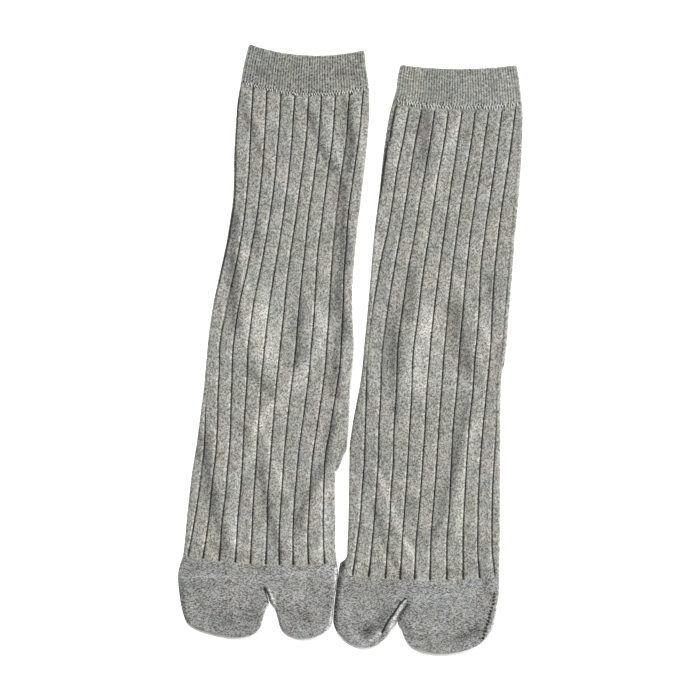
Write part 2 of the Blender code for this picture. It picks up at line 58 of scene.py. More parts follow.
# Sizes below are in millimetres, in a sock's own frame, seen from above with the toes down:
# `along` runs from the mouth of the cuff to the toes, and left and right are the side folds.
# A row of furrows starts with its place along the sock, and the others lie across it.
# The cuff's seam dips along a curve of the power `bow`, and the mouth is raised at its corners.
# The edging is the furrow that runs along the left side fold, at its inset from the fold, and its
# tone is the painted shade of that furrow.
# A crease's height is that of its ridge, which lies left of its line, and of its trough; a positive
# height also paints highlight along the line, a negative one paints shade.
# The row of a line ends with the places (across, along) that it runs through.
# A bulge is where the left fold leans out over the floor: pairs of a place along it and a reach.

Section = namedtuple("Section", "along left right")
Dips = namedtuple("Dips", "mouth cuff_seam toe_seam bow raised")
Seams = namedtuple("Seams", "cuff furrows toe")
Seeds = namedtuple("Seeds", "cloth loops")
Loops = namedtuple("Loops", "radius reach knots")
Crotch = namedtuple("Crotch", "along across")
Crease = namedtuple("Crease", "height width points")
Seamline = namedtuple("Seamline", "depth width shade points")
Linked = namedtuple("Linked", "dotted points")
Edging = namedtuple("Edging", "along inset tone")
Bulge = namedtuple("Bulge", "shade reach")
Sock = namedtuple(
    "Sock",
    "name x y turn seeds dips seams loops proud edging leg furrows heel toe crotch lobes "
    "creases seamlines linked roll bulge cuff_shade",
)


def table(kind, *rows):
    """Rows of one kind, with its names for their columns."""
    return [kind(*row) for row in rows]


RIGHT_SOCK = Sock(
    name="right",
    x=-29.64,
    y=213.55,
    turn=math.radians(3.0),
    seeds=Seeds(cloth=11, loops=5),
    dips=Dips(mouth=6.0, cuff_seam=6.3, toe_seam=3.4, bow=2.0, raised=(1.4, 1.4)),
    seams=Seams(cuff=26.0, furrows=26.5, toe=362.6),
    loops=Loops(radius=(0.26, 0.46), reach=(0.4, 1.7), knots=1.0),
    proud=(0.35, 0.05),
    edging=table(Edging,
        (28, 0.7, 0), (36, 0.7, 1.1), (65, 1, 1.1), (85, 1.4, 1.1), (115, 1.2, 1.3),
        (165, 0.9, 1.1), (185, 0.9, 0),
    ),
    leg=table(Section,
        (0, -41.6, 40.3), (8, -43.1, 41.4), (16, -44.5, 42.9), (27, -45.8, 44.9), (45, -47.5, 45.8),
        (75, -47.8, 44.8), (105, -46.9, 42.9), (135, -49.3, 41), (165, -54, 40.2),
        (185, -57.1, 41.3), (210, -59.2, 43.2), (240, -60.2, 41.8), (267, -62.2, 41.6),
        (275, -62.8, 40.8), (282, -63.3, 38.4), (288, -63.9, 36.4), (295, -64.7, 35),
        (305, -65.8, 35), (330, -67.4, 36.8), (350, -68.4, 37.8), (362.6, -69.4, 39.8),
    ),
    furrows=(
        (27, -45.6, -37.1, -27.2, -17.3, -7.5, 2.4, 11.6, 21.5, 31, 40.5),
        (50, -47.3, -37, -27.2, -17.3, -7.6, 2.3, 11.4, 21.2, 30.8, 40),
        (80, -47.4, -36.8, -27.5, -18, -8.8, 0.7, 9.4, 18.9, 28.5, 37.4),
        (115, -47, -38.3, -29.5, -20.7, -11.4, -2.2, 6.6, 16.2, 26.1, 34.8),
        (150, -51.4, -42.3, -33.8, -24.6, -15, -5.2, 4.6, 14.4, 24.9, 33.9),
        (185, -56.8, -48.1, -39.3, -29.2, -18.1, -7.3, 3.2, 14.1, 24.6, 34.7),
        (215, -59, -51, -41.5, -30.9, -19.8, -8.7, 2.2, 13.3, 24.3, 34.6),
        (240, -59.2, -50.5, -41, -30.8, -20.6, -9.9, 0.6, 11.7, 22.7, 32.7),
        (265, -58.6, -49.6, -40.5, -30.9, -21, -10.6, -0.8, 9.8, 20.4, 30),
        (285, -58.3, -49.7, -40.5, -30.8, -21, -11, -1.8, 8.4, 18.5, 27.5),
        (310, -59.9, -51.1, -41.3, -31.3, -21.3, -11.6, -2, 7.5, 17.8, 27.6),
        (335, -62.3, -52.6, -43.1, -32.1, -21.5, -10.9, -2.3, 7.3, 17.8, 28.5),
        (362.6, -65.6, -55.1, -43.5, -32.1, -21.5, -10.4, -1.2, 8.7, 19.3, 30.6),
    ),
    heel=table(Section,
        (221, -34, 12), (225, -43, 21), (237, -53, 32.5), (255, -58.6, 39.4), (271, -60.6, 41.9),
        (280, -61.2, 41.9), (284, -61.4, 40.4), (291, -61, 38.4), (296.5, -58, 36), (299, -51, 30),
    ),
    toe=table(Section,
        (362.6, -69.4, 39.8), (370, -71.4, 40.5), (376, -72.2, 39.9), (381.6, -71.7, 38.9),
    ),
    crotch=Crotch(along=381.6, across=-10.7),
    lobes=(
        table(Section,
            (387, -70.9, -8.55), (392, -70, -7.2), (394.4, -69.5, -8.5), (397, -68.9, -9),
            (400, -68.1, -9.8), (404, -66.8, -10.5), (409, -64.2, -11.8), (412.6, -58.6, -13.9),
            (415.6, -49, -17.4), (417.5, -39, -24), (418.2, -32, -32),
        ),
        table(Section,
            (387, -8.1, 38.5), (392, -6.1, 38.4), (394.4, -3.2, 38.3), (397, -1.9, 38.2),
            (400, -1.2, 38), (404, 0, 37.6), (409, 1.8, 35.5), (412.2, 4.6, 32), (414.7, 9.2, 27),
            (416.5, 18.5, 18.5),
        ),
    ),
    creases=table(Crease,
        (0.75, 12.5, [(-20, 178), (-22, 197), (-15, 220)]),
        (-0.65, 5.5, [(5, 180), (4, 199), (3, 219)]),
        (0.55, 5, [(17, 183), (23, 200), (14, 223), (1, 240), (-17, 260), (-22, 271)]),
        (0.35, 4, [(-22, 271), (-25, 289), (-35, 307), (-36, 329), (-32, 353)]),
        (0.35, 4, [(-18, 266), (-8, 293), (4, 318)]),
        (-0.8, 6, [(-58, 280), (-54, 305), (-49, 329), (-41, 355)]),
        (-0.6, 5, [(-18, 296), (-11, 327), (-1, 357)]),
        (-0.7, 5, [(31, 258), (28, 290), (14, 321), (11, 335)]),
        (0.65, 6.5, [(28, 312), (31, 336), (29, 356)]),
        (-0.9, 6, [(30, 97), (32, 145), (30, 169), (35, 194), (31, 217), (32, 240)]),
        (-0.5, 4, [(2, 44), (12, 68), (23, 85)]),
        (-0.85, 5, [(29, 38), (34, 63), (33, 82)]),
        (0.3, 3.5, [(15, 45), (23, 64), (28, 78)]),
        (0.35, 3.5, [(40, 38), (42, 73)]),
        (-0.35, 4.5, [(-43, 43), (-33, 67), (-23, 89)]),
        (-0.85, 6, [(-46, 122), (-45, 150), (-43.5, 180), (-41, 196)]),
        (0.25, 4, [(-39, 138), (-35, 169)]),
        (-0.3, 4.5, [(-31, 120), (-28, 146)]),
        (-0.4, 4.5, [(-29, 228), (-13, 245)]),
        (-0.25, 5, [(-41, 262), (-32, 272)]),
        (-0.12, 5, [(-40, 18), (0, 21), (38, 14)]),
        (-0.22, 8, [(-42, 37), (0, 42), (38, 36)]),
        (-0.2, 7, [(-47, 407), (-30, 405), (-18, 400)]),
        (-0.2, 7, [(-58, 380), (-54, 395)]),
        (-0.25, 6, [(4, 398), (14, 404), (26, 402)]),
        (0.2, 6, [(10, 372), (30, 370)]),
    ),
    # Lines of the toe: low ridges along its seams, painted shade in its crevices and patches, and
    # painted highlight on its lit strips and rims.
    seamlines=table(Seamline,
        (-0.22, 0.8, -0.2, [(-71, 377.7), (-50, 376.4), (-31, 375.6)]),
        (-0.25, 0.9, -0.22, [(-22, 370), (-12.4, 374.4), (14, 370), (38, 365.6)]),
        (-0.4, 0.8, -0.8, [(-7.8, 382), (-4.8, 388.5), (-2.3, 395)]),
        (0, 0.8, 0.55, [(-69.6, 378), (-68.2, 388), (-66.2, 398), (-64.1, 405), (-62.6, 408)]),
        (0, 0.8, -0.75, [(38.8, 366), (39.2, 380), (38.7, 392), (37.3, 403), (35, 408)]),
        (0, 7.5, 0.17, [(-33, 406), (-25, 406)]),
        (0, 8, 0.14, [(8, 400), (18, 401)]),
        (0, 1.1, 1.4, [(-10.5, 382.4), (-9.4, 384.7), (-8.3, 387), (-6.5, 392)]),
    ),
    linked=table(Linked,
        (True, [(-72.2, 380), (-71, 388), (-68.9, 398), (-67, 404), (-64.4, 409)]),
    ),
    roll=(1.9, 1.9),
    bulge=Bulge(0.0, [(362, 0), (404, 0)]),
    cuff_shade=0.12,
)

LEFT_SOCK = Sock(
    name="left",
    x=76.76,
    y=201.15,
    turn=math.radians(1.0),
    seeds=Seeds(cloth=29, loops=6),
    dips=Dips(mouth=3.0, cuff_seam=4.8, toe_seam=3.7, bow=4.0, raised=(0.6, 1.9)),
    seams=Seams(cuff=24.2, furrows=26.2, toe=360.2),
    loops=Loops(radius=(0.32, 0.5), reach=(0.8, 2.4), knots=0.5),
    proud=(0.35, 0.35),
    edging=table(Edging,
        (27, 3.3, 0), (29, 3.2, 1.3), (48, 2.9, 1.4), (62, 1.9, 1.4), (80, 1.2, 1.3),
        (100, 0.8, 0.6), (130, 0.8, 0),
    ),
    leg=table(Section,
        (0, -41, 41), (8, -42.5, 42.7), (16, -43.2, 43.9), (24.2, -45.2, 44.9), (35, -47.8, 45.8),
        (60, -51.3, 45.4), (90, -54, 43.9), (120, -57.2, 41.7), (150, -59.2, 40), (180, -61.3, 38),
        (200, -62.9, 36.5), (212, -63.7, 34.4), (225, -65.1, 33.4), (240, -67.7, 33.4),
        (257, -70.4, 33.7), (272, -71.9, 34), (310, -71.8, 34.5), (345, -72.4, 34.9),
        (352, -74.1, 35), (360.2, -76.2, 35.2),
    ),
    furrows=(
        (24.2, -34.2, -24.9, -15.7, -6.2, 3.3, 12.8, 22.5, 31.8, 41.1, 44.4),
        (50, -38.4, -29.4, -19.2, -9.3, 0.3, 9.7, 19.2, 29, 38.4, 44.8),
        (80, -43.1, -33.5, -23.8, -13.9, -3.9, 5.3, 15.1, 25, 34.3, 43.4),
        (110, -47.3, -38, -28, -18.1, -7.8, 1.4, 11.1, 21.1, 30.7, 41.2),
        (140, -52.7, -43, -32.7, -22.1, -11.4, -1.8, 8.1, 18.4, 28.2, 38.4),
        (170, -57.4, -47.2, -36.6, -25, -14.3, -4.5, 6.1, 17.3, 26.8, 36.4),
        (200, -60.6, -50.4, -39.5, -28.4, -16.9, -6.8, 3.9, 15.3, 25.8, 34.8),
        (225, -61.1, -51.1, -39.8, -29.2, -18.3, -8, 2.6, 13.9, 23.9, 31.8),
        (250, -61.3, -51.4, -40.9, -30, -19.4, -9.5, 0.7, 11.7, 21.9, 31.2),
        (280, -61.9, -51.9, -41.5, -31.2, -20.6, -10.7, -0.4, 10.5, 19.9, 29.8),
        (310, -63.3, -53.2, -42.7, -32.8, -22.2, -12.4, -1.2, 9.4, 19.2, 29.3),
        (335, -65.5, -55, -44.2, -34.1, -24.1, -13.6, -2.3, 9.1, 19.3, 29.5),
        (360.2, -68.5, -57.1, -45.4, -35, -24.8, -13.8, -2.1, 9.5, 21.1, 31.9),
    ),
    heel=table(Section,
        (200.5, -50, 25), (202.5, -57, 32.5), (205.5, -60, 36.3), (210, -61.2, 36),
        (216, -61.6, 33.6), (232, -60, 30.5), (250, -54.5, 25), (264, -45, 15), (270.5, -36, 5),
        (273.5, -27, -4),
    ),
    toe=table(Section,
        (360.2, -76.2, 35.2), (366, -77.1, 35.3), (373, -78.1, 35.1), (380.7, -78.9, 34),
    ),
    crotch=Crotch(along=380.7, across=-29.4),
    lobes=(
        table(Section,
            (385, -79.2, -33), (390, -79.5, -36), (395, -79.6, -38.2), (400, -78.8, -41.4),
            (404, -76.2, -43.8), (408, -71.4, -47.8), (410.6, -65.8, -52), (411.9, -58.6, -58.6),
        ),
        table(Section,
            (385, -32.2, 33.5), (390, -35.1, 32.7), (393.6, -36.2, 32), (397, -34, 30.9),
            (400, -32.8, 29.5), (404, -31.2, 26.4), (408, -28.4, 22), (410.7, -24.8, 17.3),
            (412.9, -19.8, 11.2), (414.6, -12.5, 4.2), (415.3, -4.5, -4.5),
        ),
    ),
    creases=table(Crease,
        (-0.85, 7.5, [(-22, 38), (-23, 61)]),
        (0.45, 5, [(0, 44), (-7, 63), (-15, 85)]),
        (0.3, 5, [(-40, 39), (-43, 68)]),
        (-0.4, 4, [(-50, 53), (-52, 82)]),
        (0.35, 4.5, [(-56, 121), (-58, 159)]),
        (-0.6, 7, [(-31, 150), (-31, 160)]),
        (-0.9, 8.5, [(-34, 174), (-43, 186), (-42, 210)]),
        (0.62, 12, [(-18, 180), (-24, 201), (-27, 221)]),
        (0.4, 7.5, [(-23, 222), (0, 222)]),
        (-0.9, 9, [(0, 176), (4, 190), (9, 208)]),
        (0.3, 3, [(0, 147), (12, 170), (22, 186), (27, 200)]),
        (0.35, 4, [(-57, 204), (-55, 226)]),
        (-0.5, 5.5, [(25, 150), (26, 168)]),
        (-0.3, 4.5, [(-42, 219), (-40, 246)]),
        (-0.6, 5, [(10, 238), (3, 268), (-1, 294), (-10, 328)]),
        (0.4, 4.5, [(16, 254), (10, 282), (7, 307), (6, 331)]),
        (0.5, 3.2, [(-51, 288), (-41, 315), (-32, 336), (-24, 350)]),
        (-0.45, 4, [(-54, 311), (-45, 339), (-34, 359)]),
        (-0.25, 4.5, [(-27, 307), (-26, 323)]),
        (0.25, 5, [(-72, 388), (-68, 402), (-60, 410)]),
        (-0.25, 4.5, [(-63, 401), (-54, 396), (-47, 388)]),
        (-0.45, 4, [(-29, 380), (-33, 391), (-27, 402)]),
        (-0.3, 5, [(-2, 404), (12, 400), (21, 390)]),
        (0.3, 5, [(-20, 365), (10, 363)]),
        (-0.3, 4, [(24, 355), (27, 372)]),
    ),
    # Lines of the toe: low ridges along its seams, painted shade in its crevices and patches, and
    # painted highlight on its lit strips and rims.
    seamlines=table(Seamline,
        (-0.25, 1.2, -0.7, [(34.6, 378), (33.8, 385), (32, 392), (30, 399), (25.8, 407.5)]),
        (-0.35, 1.3, -0.9, [
            (-31.4, 378), (-32.6, 380), (-35.6, 385.7), (-38.7, 391.4), (-41.8, 397.1),
        ]),
        (0, 1.2, -0.9, [(-48.4, 401.2), (-51.5, 404), (-54.5, 406.6)]),
        (0, 3.4, 0.34, [(-58, 400), (-50, 394), (-43, 385)]),
        (0, 3.4, 0.34, [(-59, 400), (-56, 401)]),
        (0, 3.8, 0.5, [(7, 403.5), (14, 401), (20, 397)]),
        (0, 6, -0.12, [(-10, 399), (-2, 401)]),
        (0, 7, -0.12, [(-12, 372), (8, 375)]),
        (0, 7, -0.1, [(-62, 379), (-57, 387)]),
        (0, 0.9, 0.8, [(-29.8, 381.6), (-32.4, 385), (-35.5, 390)]),
        (-0.2, 1, -0.14, [(-22, 375.6), (0, 373.4), (22, 375)]),
    ),
    linked=table(Linked,
        (True, [(31.8, 372), (31, 379), (29, 385), (28.2, 390), (26, 397), (24, 405)]),
        (False, [(-31.2, 376.5), (-35, 380.8), (-38.4, 386.5), (-42.6, 392.2), (-47, 400.8)]),
    ),
    roll=(2.6, 0.9),
    bulge=Bulge(0.8, [
        (349, 0), (352.5, 3.2), (356.5, 2.9), (361, 2.2), (366, 2.1), (394, 2.1), (402, 0),
    ]),
    cuff_shade=0.0,
)

SOCKS = (RIGHT_SOCK, LEFT_SOCK)

# The flattened tubes, in millimetres, as the solids have them
LEG_THICK = 3.6
LEG_CROWN = 0.6
CUFF_THICK = 4.0
MOUTH_CROWN = 1.5
TOE_THICK = 3.4
TOE_CROWN = 0.8
FOLD_RADIUS = 1.9
HEEL_LIFT = 2.9
HEEL_MARGIN = 6.0
HEEL_RAMP = 30.0
PLAIN_WALL = 1.2
RIB_WALL = 1.6
CUFF_WALL = 1.8
SEAM_GROOVE = 0.12

# The hollow inside a tube: how far inside a fold it starts, and where it has its full height
HOLLOW_INSET = 1.7
HOLLOW_FULL = 6.0
HOLLOW_LEAST = 0.2

# Where the grids have their lines, in millimetres or as shares of a fold's radius
FOLD_STEPS = (0.0, 0.025, 0.1, 0.22, 0.4, 0.65, 1.0)
FURROW_STEPS = (0.14, 0.28, 0.42, 0.6, 0.9)
UNDER_STEPS = (0.35, 0.8)
RIB_SHARES = (0.12, 0.3, 0.5, 0.7, 0.88)
UNDER_SHARES = (0.33, 0.67)
LEG_RING = 1.35
INNER_RING = 4.5
CUFF_RING = 0.45
CUFF_RIB_STEPS = 6
MOUTH_STEPS = 8
TOE_RING = 0.8
LOBE_RINGS = 54
TOE_POINTS = (70, 54)
TOE_INNER_EVERY = 6
HEEL_POINTS = 60
HEEL_LIFT_POINTS = 14
SAME_PLACE = 1e-6

# Soft unevenness: the bumps' sizes, and how high those of the first three sizes are
BUMP_CELLS = (38.0, 17.0, 6.5, 2.6)
BUMP_SHARES = (0.45, 0.22, 0.07)
NOISE_LATTICE = 97
RIDGE_SHAPE = 2.33
TROUGH_LIMIT = 0.6

# Furrows: where across and along the leg they show, how they widen at their ends, their edges
FURROW_LEAST = 3.0
FURROW_HIDES = 0.6
FURROW_SHOWS = 5.6
FURROW_START = 2.2
FURROW_END = 1.0
FURROW_TIPS = 0.65
FURROW_TIPS_SHADE = 0.3
TOP_TIPS = 0.6
TOP_TIPS_REACH = 4.0
END_TIPS_REACH = 14.0
FURROW_STRAYS = 23.0
FURROW_APART = 7.3
UNDER_FURROW = 0.6
RIB_EDGES = (2.4, 0.8)
# The rim of painted highlight beside each furrow, where a rib's edge faces the key light
RIM_OFFSET = 1.15
RIM_WIDTH = 0.55
RIM_PAINTED_HIGHLIGHT = 0.5
EDGING_WIDTH = 0.6
KNOT_OFFSET = 0.9
KNOT_DOWN = 0.9
KNOT_WIDTH = 0.9
JOIN_REACH = 1.9
JOIN_DROP = 0.45
EDGE_FADE = 25.0

# How a tone varies from place to place: its middle, swing, size of patch and seed
Patches = namedtuple("Patches", "middle swing cell seed")
FURROW_PATCHES = Patches(1.0, 0.35, 2.2, 51)
JOIN_PATCHES = Patches(0.8, 1.6, 1.3, 52)
RIM_PATCHES = Patches(0.7, 0.6, 1.6, 53)
KNOT_PATCHES = Patches(0.7, 1.2, 3.1, 54)
PATCH_MOST = 1.3
JOIN_ROW = 3.0
KNOT_ROW = 5.0
RIM_COLUMN = 9.0

# The cuff: its rolled mouth, its ribs and beads of stitches, and the beading at its seam
CORNER_REACH = 2.8
CORNER_DROP = 1.3
CUFF_BEAD = 0.1
CUFF_BEAD_STEP = 0.37
CUFF_RIBS_INSET = 0.5
CUFF_RIBS_SHOW = 1.2
CUFF_UNEVEN = 0.6
CUFF_UNEVEN_STEPS = 4.0
CUFF_UNEVEN_CELL = 3.0
CUFF_UNEVEN_SEED = 41
CUFF_END = 0.8
CUFF_END_DROP = 0.7
CUFF_VALLEY_SHADE = 0.45
CUFF_BEADING = 0.35
BEADING_UP = 1.1
BEADING_WIDTH = 0.7
BEADING_SHADE_AND_HIGHLIGHT = (0.8, 0.5)

# The toe: where it takes its own thickness, its slit and its linked seams
TOE_BLEND = 8.0
SLIT_REACH = 12.0
SLIT_START = 5.0
SEAM_THINNING = 1.4
SLOPE_STEP = 0.05
SEAM_KEPT = 4

# The heel pouch's edge, as pairs of a height and an inset, and the rings across its faces
HEEL_PROFILE = (
    (0.0, 0.9), (0.1, 0.45), (0.35, 0.12), (0.65, 0.0), (0.95, 0.12), (1.2, 0.5),
    (1.3, 1.0),
    (1.4, 0.5), (1.65, 0.12), (1.95, 0.0), (2.25, 0.12), (2.5, 0.45), (2.6, 0.9),
)
HEEL_SHRINK = (0.9, 0.6, 0.3, 0.0)
HEEL_WAVE = Patches(1.0, 0.1, 9.0, 17)

# Joining loops: their spread, and a path of leans, reaches, ways on and heights for each
LOOP_MARGIN = 0.03
LOOP_STRAY = (0.4, 0.5)
LOOP_LEANS = (-0.4, 1.3)
LOOP_SINKS = 0.15
LOOP_PATH = (
    (-0.6, -1.0, -0.25, -0.7),
    (-0.45, -0.75, 0.0, -0.12),
    (0.0, 0.0, 0.0, 0.12),
    (0.45, 0.75, 0.0, -0.3),
    (0.6, 1.0, 0.2, -0.9),
)

KNIT_UNIT = 100.0
WELD = 0.004 * MM
SHARP = math.radians(60)
FILL_ANGLES = (math.radians(102), math.radians(50), math.radians(12))


def ease(share):
    """A smooth step from 0 to 1 as a share goes from 0 to 1."""
    share = np.clip(share, 0.0, 1.0)
    return share * share * (3.0 - 2.0 * share)


def fading(distance, reach):
    """A share that is 1 at a place and fades smoothly to 0 at its reach."""
    return ease(1 - distance / reach)


def band(off, width):
    """A soft band: 1 in its middle, fading over its width."""
    return np.exp(-(off / width) ** 2)


def wave(turns):
    """A wave between 0 and 1, which is 1 at every whole turn."""
    return 0.5 + 0.5 * np.cos(2 * math.pi * turns)


def arch(share):
    """A low arch: 0 at the two side folds and 1 half way between them."""
    return 4.0 * share * (1.0 - share)


def bowed(share, power):
    """A curve that is 0 at the two side folds and 1 half way, flatter there as its power grows."""
    return 1.0 - np.abs(1.0 - 2.0 * share) ** power


def rounded(distance, radius):
    """The share of its half thickness that a rounded fold has at a distance inside its edge."""
    inside = 1.0 - np.clip(distance / radius, 0.0, 1.0)
    return np.sqrt(1.0 - inside * inside)


def read(rows, keys):
    """Read a table's columns at many keys, on smooth curves that never overshoot its rows."""
    known = np.array(rows, float)
    at, values = known[:, 0], known[:, 1:]
    steps = np.diff(at)
    rises = np.diff(values, axis=0) / steps[:, None]
    before, after = rises[:-1], rises[1:]
    same_way = before * after > 0
    total = np.where(same_way, before + after, 1.0)
    turns = np.where(same_way, 2.0 * before * after / total, 0.0)
    slopes = np.vstack([rises[:1], turns, rises[-1:]])
    keys = np.clip(np.asarray(keys, float), at[0], at[-1])
    low = np.clip(np.searchsorted(at, keys, side="right") - 1, 0, len(steps) - 1)
    step = steps[low]
    share = (keys - at[low]) / step
    columns = []
    for value, slope in zip(values.T, slopes.T):
        start, end = value[low], value[low + 1]
        leave, arrive = slope[low] * step, slope[low + 1] * step
        hook = share * (1 - share) ** 2 * leave - share ** 2 * (1 - share) * arrive
        columns.append(start + (end - start) * ease(share) + hook)
    return columns


def noise(x, y, cell, seed):
    """Smooth noise from -1 to 1 over places in millimetres, with bumps about a cell across."""
    size = NOISE_LATTICE
    lattice = np.random.default_rng(seed).uniform(-1.0, 1.0, (size, size))
    x, y = x / cell, y / cell
    i, j = np.floor(x).astype(int), np.floor(y).astype(int)
    across, down = ease(x - i), ease(y - j)
    i, j = i % size, j % size
    near, far = (i + 1) % size, (j + 1) % size
    upper = lattice[i, j] * (1 - across) + lattice[near, j] * across
    lower = lattice[i, far] * (1 - across) + lattice[near, far] * across
    return upper * (1 - down) + lower * down


def patchy(patches, x, y):
    """A tone that varies from place to place."""
    return patches.middle + patches.swing * noise(x, y, patches.cell, patches.seed)


def beside(points, x, y):
    """Distance to a line of points, how far to its right a place lies, and the way along it."""
    nearest = np.full(x.shape, np.inf)
    right = np.zeros(x.shape)
    way = np.zeros(x.shape)
    passed = 0.0
    for (ax, ay), (bx, by) in zip(points, points[1:]):
        dx, dy = bx - ax, by - ay
        length = math.hypot(dx, dy)
        share = ((x - ax) * dx + (y - ay) * dy) / length ** 2
        held = np.clip(share, 0.0, 1.0)
        distance = np.hypot(x - ax - held * dx, y - ay - held * dy)
        closer = distance < nearest
        nearest = np.where(closer, distance, nearest)
        right = np.where(closer, ((x - ax) * dy - (y - ay) * dx) / length, right)
        way = np.where(closer, passed + held * length, way)
        passed += length
    return nearest, right, way


def crease_relief(sock, x, y):
    """Height of the soft creases in the cloth, a ridge beside a trough along each line, and the
    tone of their painted highlight and shade.
    """
    height = np.zeros(x.shape)
    tone = np.zeros(x.shape)
    for crease in sock.creases:
        distance, right, _ = beside(crease.points, x, y)
        near = crease.height * band(distance, crease.width)
        height -= RIDGE_SHAPE * right / crease.width * near
        tone -= near
    return np.where(height < 0, -TROUGH_LIMIT * np.tanh(-height / TROUGH_LIMIT), height), tone


def toe_line_relief_and_shading(sock, x, y):
    """Height and shade of the toe's lines: low ridges along its seams, painted shade in its
    crevices and patches, and painted highlight on its lit strips and rims.
    """
    height = np.zeros(x.shape)
    shade = np.zeros(x.shape)
    for line in sock.seamlines:
        near = band(beside(line.points, x, y)[0], line.width)
        height -= line.depth * near
        shade += line.shade * near
    return height, shade


def linked_seam(sock, x, y):
    """How far each place lies off the nearest linked seam and how far along it, if it is dotted."""
    nearest = np.full(x.shape, np.inf)
    found = np.zeros(x.shape + (2,))
    for line in sock.linked:
        distance, _, way = beside(line.points, x, y)
        closer = distance < nearest
        nearest = np.where(closer, distance, nearest)
        off = distance * (1.0 if line.dotted else SEAM_THINNING)
        found = np.where(closer[..., None], np.stack([off, way * line.dotted], axis=-1), found)
    return found.reshape(-1, 2)


def heel_edge(sock, count):
    """The folded heel's outline, once round, as an array of places."""
    alongs = np.linspace(sock.heel[0].along, sock.heel[-1].along, count)
    left, right = read(sock.heel, alongs)
    down = np.stack([right, alongs], axis=1)
    up = np.stack([left, alongs], axis=1)[::-1]
    return np.vstack([down, up])


def heel_lift(sock, x, y):
    """How far the cloth is lifted where it drapes over the folded heel."""
    left, right = read(sock.heel, y)
    inside = (x > left) & (x < right) & (y > sock.heel[0].along) & (y < sock.heel[-1].along)
    outline = heel_edge(sock, HEEL_LIFT_POINTS)
    points = [tuple(place) for place in (*outline, outline[0])]
    distance = np.where(inside, 0.0, beside(points, x, y)[0])
    return HEEL_LIFT * fading(distance - HEEL_MARGIN, HEEL_RAMP)


def crease_painted_shading(sock, x, y, knit):
    """Painted highlight along creases of positive height and painted shade along those of negative
    height.
    """
    return knit.crease_painted_shading * crease_relief(sock, x, y)[1]


def softness(sock, x, y, knit):
    """Uneven height of the laid cloth: its creases and a slow and a quick unevenness."""
    bumps = [noise(x, y, cell, sock.seeds.cloth + step) for step, cell in enumerate(BUMP_CELLS)]
    wide, middling, small = (bump * share for bump, share in zip(bumps, BUMP_SHARES))
    quick = small + bumps[-1] * knit.fuzz / MM
    creased = knit.creasing * crease_relief(sock, x, y)[0]
    return creased + (wide + middling) * knit.unevenness / MM + quick


def place(sock, points):
    """Places in a sock's own frame, in millimetres, as places in the pair's frame, in metres."""
    cosine, sine = math.cos(sock.turn), math.sin(sock.turn)
    across, along, up = points[:, 0], points[:, 1], points[:, 2]
    x = sock.x + across * cosine - along * sine
    y = sock.y - across * sine - along * cosine
    return np.stack([x, y, up], axis=1) * MM


def add_map(mesh, name, places, corners):
    """Give a mesh a UV map from the places of its points, at each corner of its faces."""
    flat = places[corners] / KNIT_UNIT
    mesh.uv_layers.new(name=name).data.foreach_set("uv", flat.astype(np.float32).reshape(-1))


class Cloth:
    """Grids of one piece of cloth, gathered in a sock's own frame and then made a mesh."""

    def __init__(self, sock):
        self.sock = sock
        self.points, self.faces, self.knit, self.shade, self.seam = [], [], [], [], []
        self.count = 0

    def grid(self, across, along, up, shade=None, side=1, seam=None):
        """Add a grid of points whose rows run along the sock."""
        rows, columns = up.shape
        index = self.count + np.arange(rows * columns).reshape(rows, columns)
        self.count += rows * columns
        self.points.append(np.stack([across, along, up], axis=-1).reshape(-1, 3))
        self.knit.append(np.stack([across * side, along], axis=-1).reshape(-1, 2))
        self.shade.append((np.zeros(up.shape) if shade is None else shade).reshape(-1))
        self.seam.append(np.full((rows * columns, 2), KNIT_UNIT) if seam is None else seam)
        corners = (index[:-1, :-1], index[1:, :-1], index[1:, 1:], index[:-1, 1:])
        self.faces.append(np.stack(corners, axis=-1).reshape(-1, 4))

    def rim(self, skin, lining, end, side=1):
        """Add the rim between the outer face and the lining at one end of their grids."""
        edges = [np.stack([outer[end], inner[end]]) for outer, inner in zip(skin[:3], lining)]
        self.grid(*edges, side=side)

    def finish(self, name, material, slot):
        """Weld the grids into one closed piece and dress it."""
        mesh = bpy.data.meshes.new(name)
        faces = np.vstack(self.faces)
        corners = faces.reshape(-1)
        mesh.from_pydata(place(self.sock, np.vstack(self.points)), [], faces.tolist())
        add_map(mesh, "knit", np.vstack(self.knit), corners)
        if slot == "toe_knit":
            add_map(mesh, "seam", np.vstack(self.seam), corners)
        shade = mesh.attributes.new("shade", "FLOAT", "POINT")
        shade.data.foreach_set("value", np.concatenate(self.shade).astype(np.float32))
        return finish_piece(mesh, name, material)


def finish_piece(mesh, name, material):
    """Weld a mesh, turn its faces outwards and make it a piece that rides on the body."""
    form = bmesh.new()
    form.from_mesh(mesh)
    bmesh.ops.remove_doubles(form, verts=form.verts, dist=WELD)
    bmesh.ops.dissolve_degenerate(form, edges=form.edges, dist=WELD)
    bmesh.ops.recalc_face_normals(form, faces=form.faces)
    form.to_mesh(mesh)
    form.free()
    mesh.shade_smooth()
    mesh.set_sharp_from_angle(angle=SHARP)
    mesh.materials.append(material)
    piece = bpy.data.objects.new(name, mesh)
    bpy.context.scene.collection.objects.link(piece)
    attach(piece, BODY)
    return piece


def stations(start, end, step):
    """Evenly spaced distances along a sock, both ends included."""
    return np.linspace(start, end, int(round((end - start) / step)) + 1)


def inner_distance(distance):
    """Where the hollow has a grid line whose outside lies at a distance from its fold."""
    moved = HOLLOW_INSET + distance * (HOLLOW_FULL - HOLLOW_INSET) / HOLLOW_FULL
    return np.where(distance < HOLLOW_FULL, moved, distance)


def inner_across(across, left, right):
    """The grid lines of the outside, moved in to those of the hollow."""
    from_left = left + inner_distance(across - left)
    from_right = right - inner_distance(right - across)
    return np.where(across < (left + right) / 2, from_left, from_right)


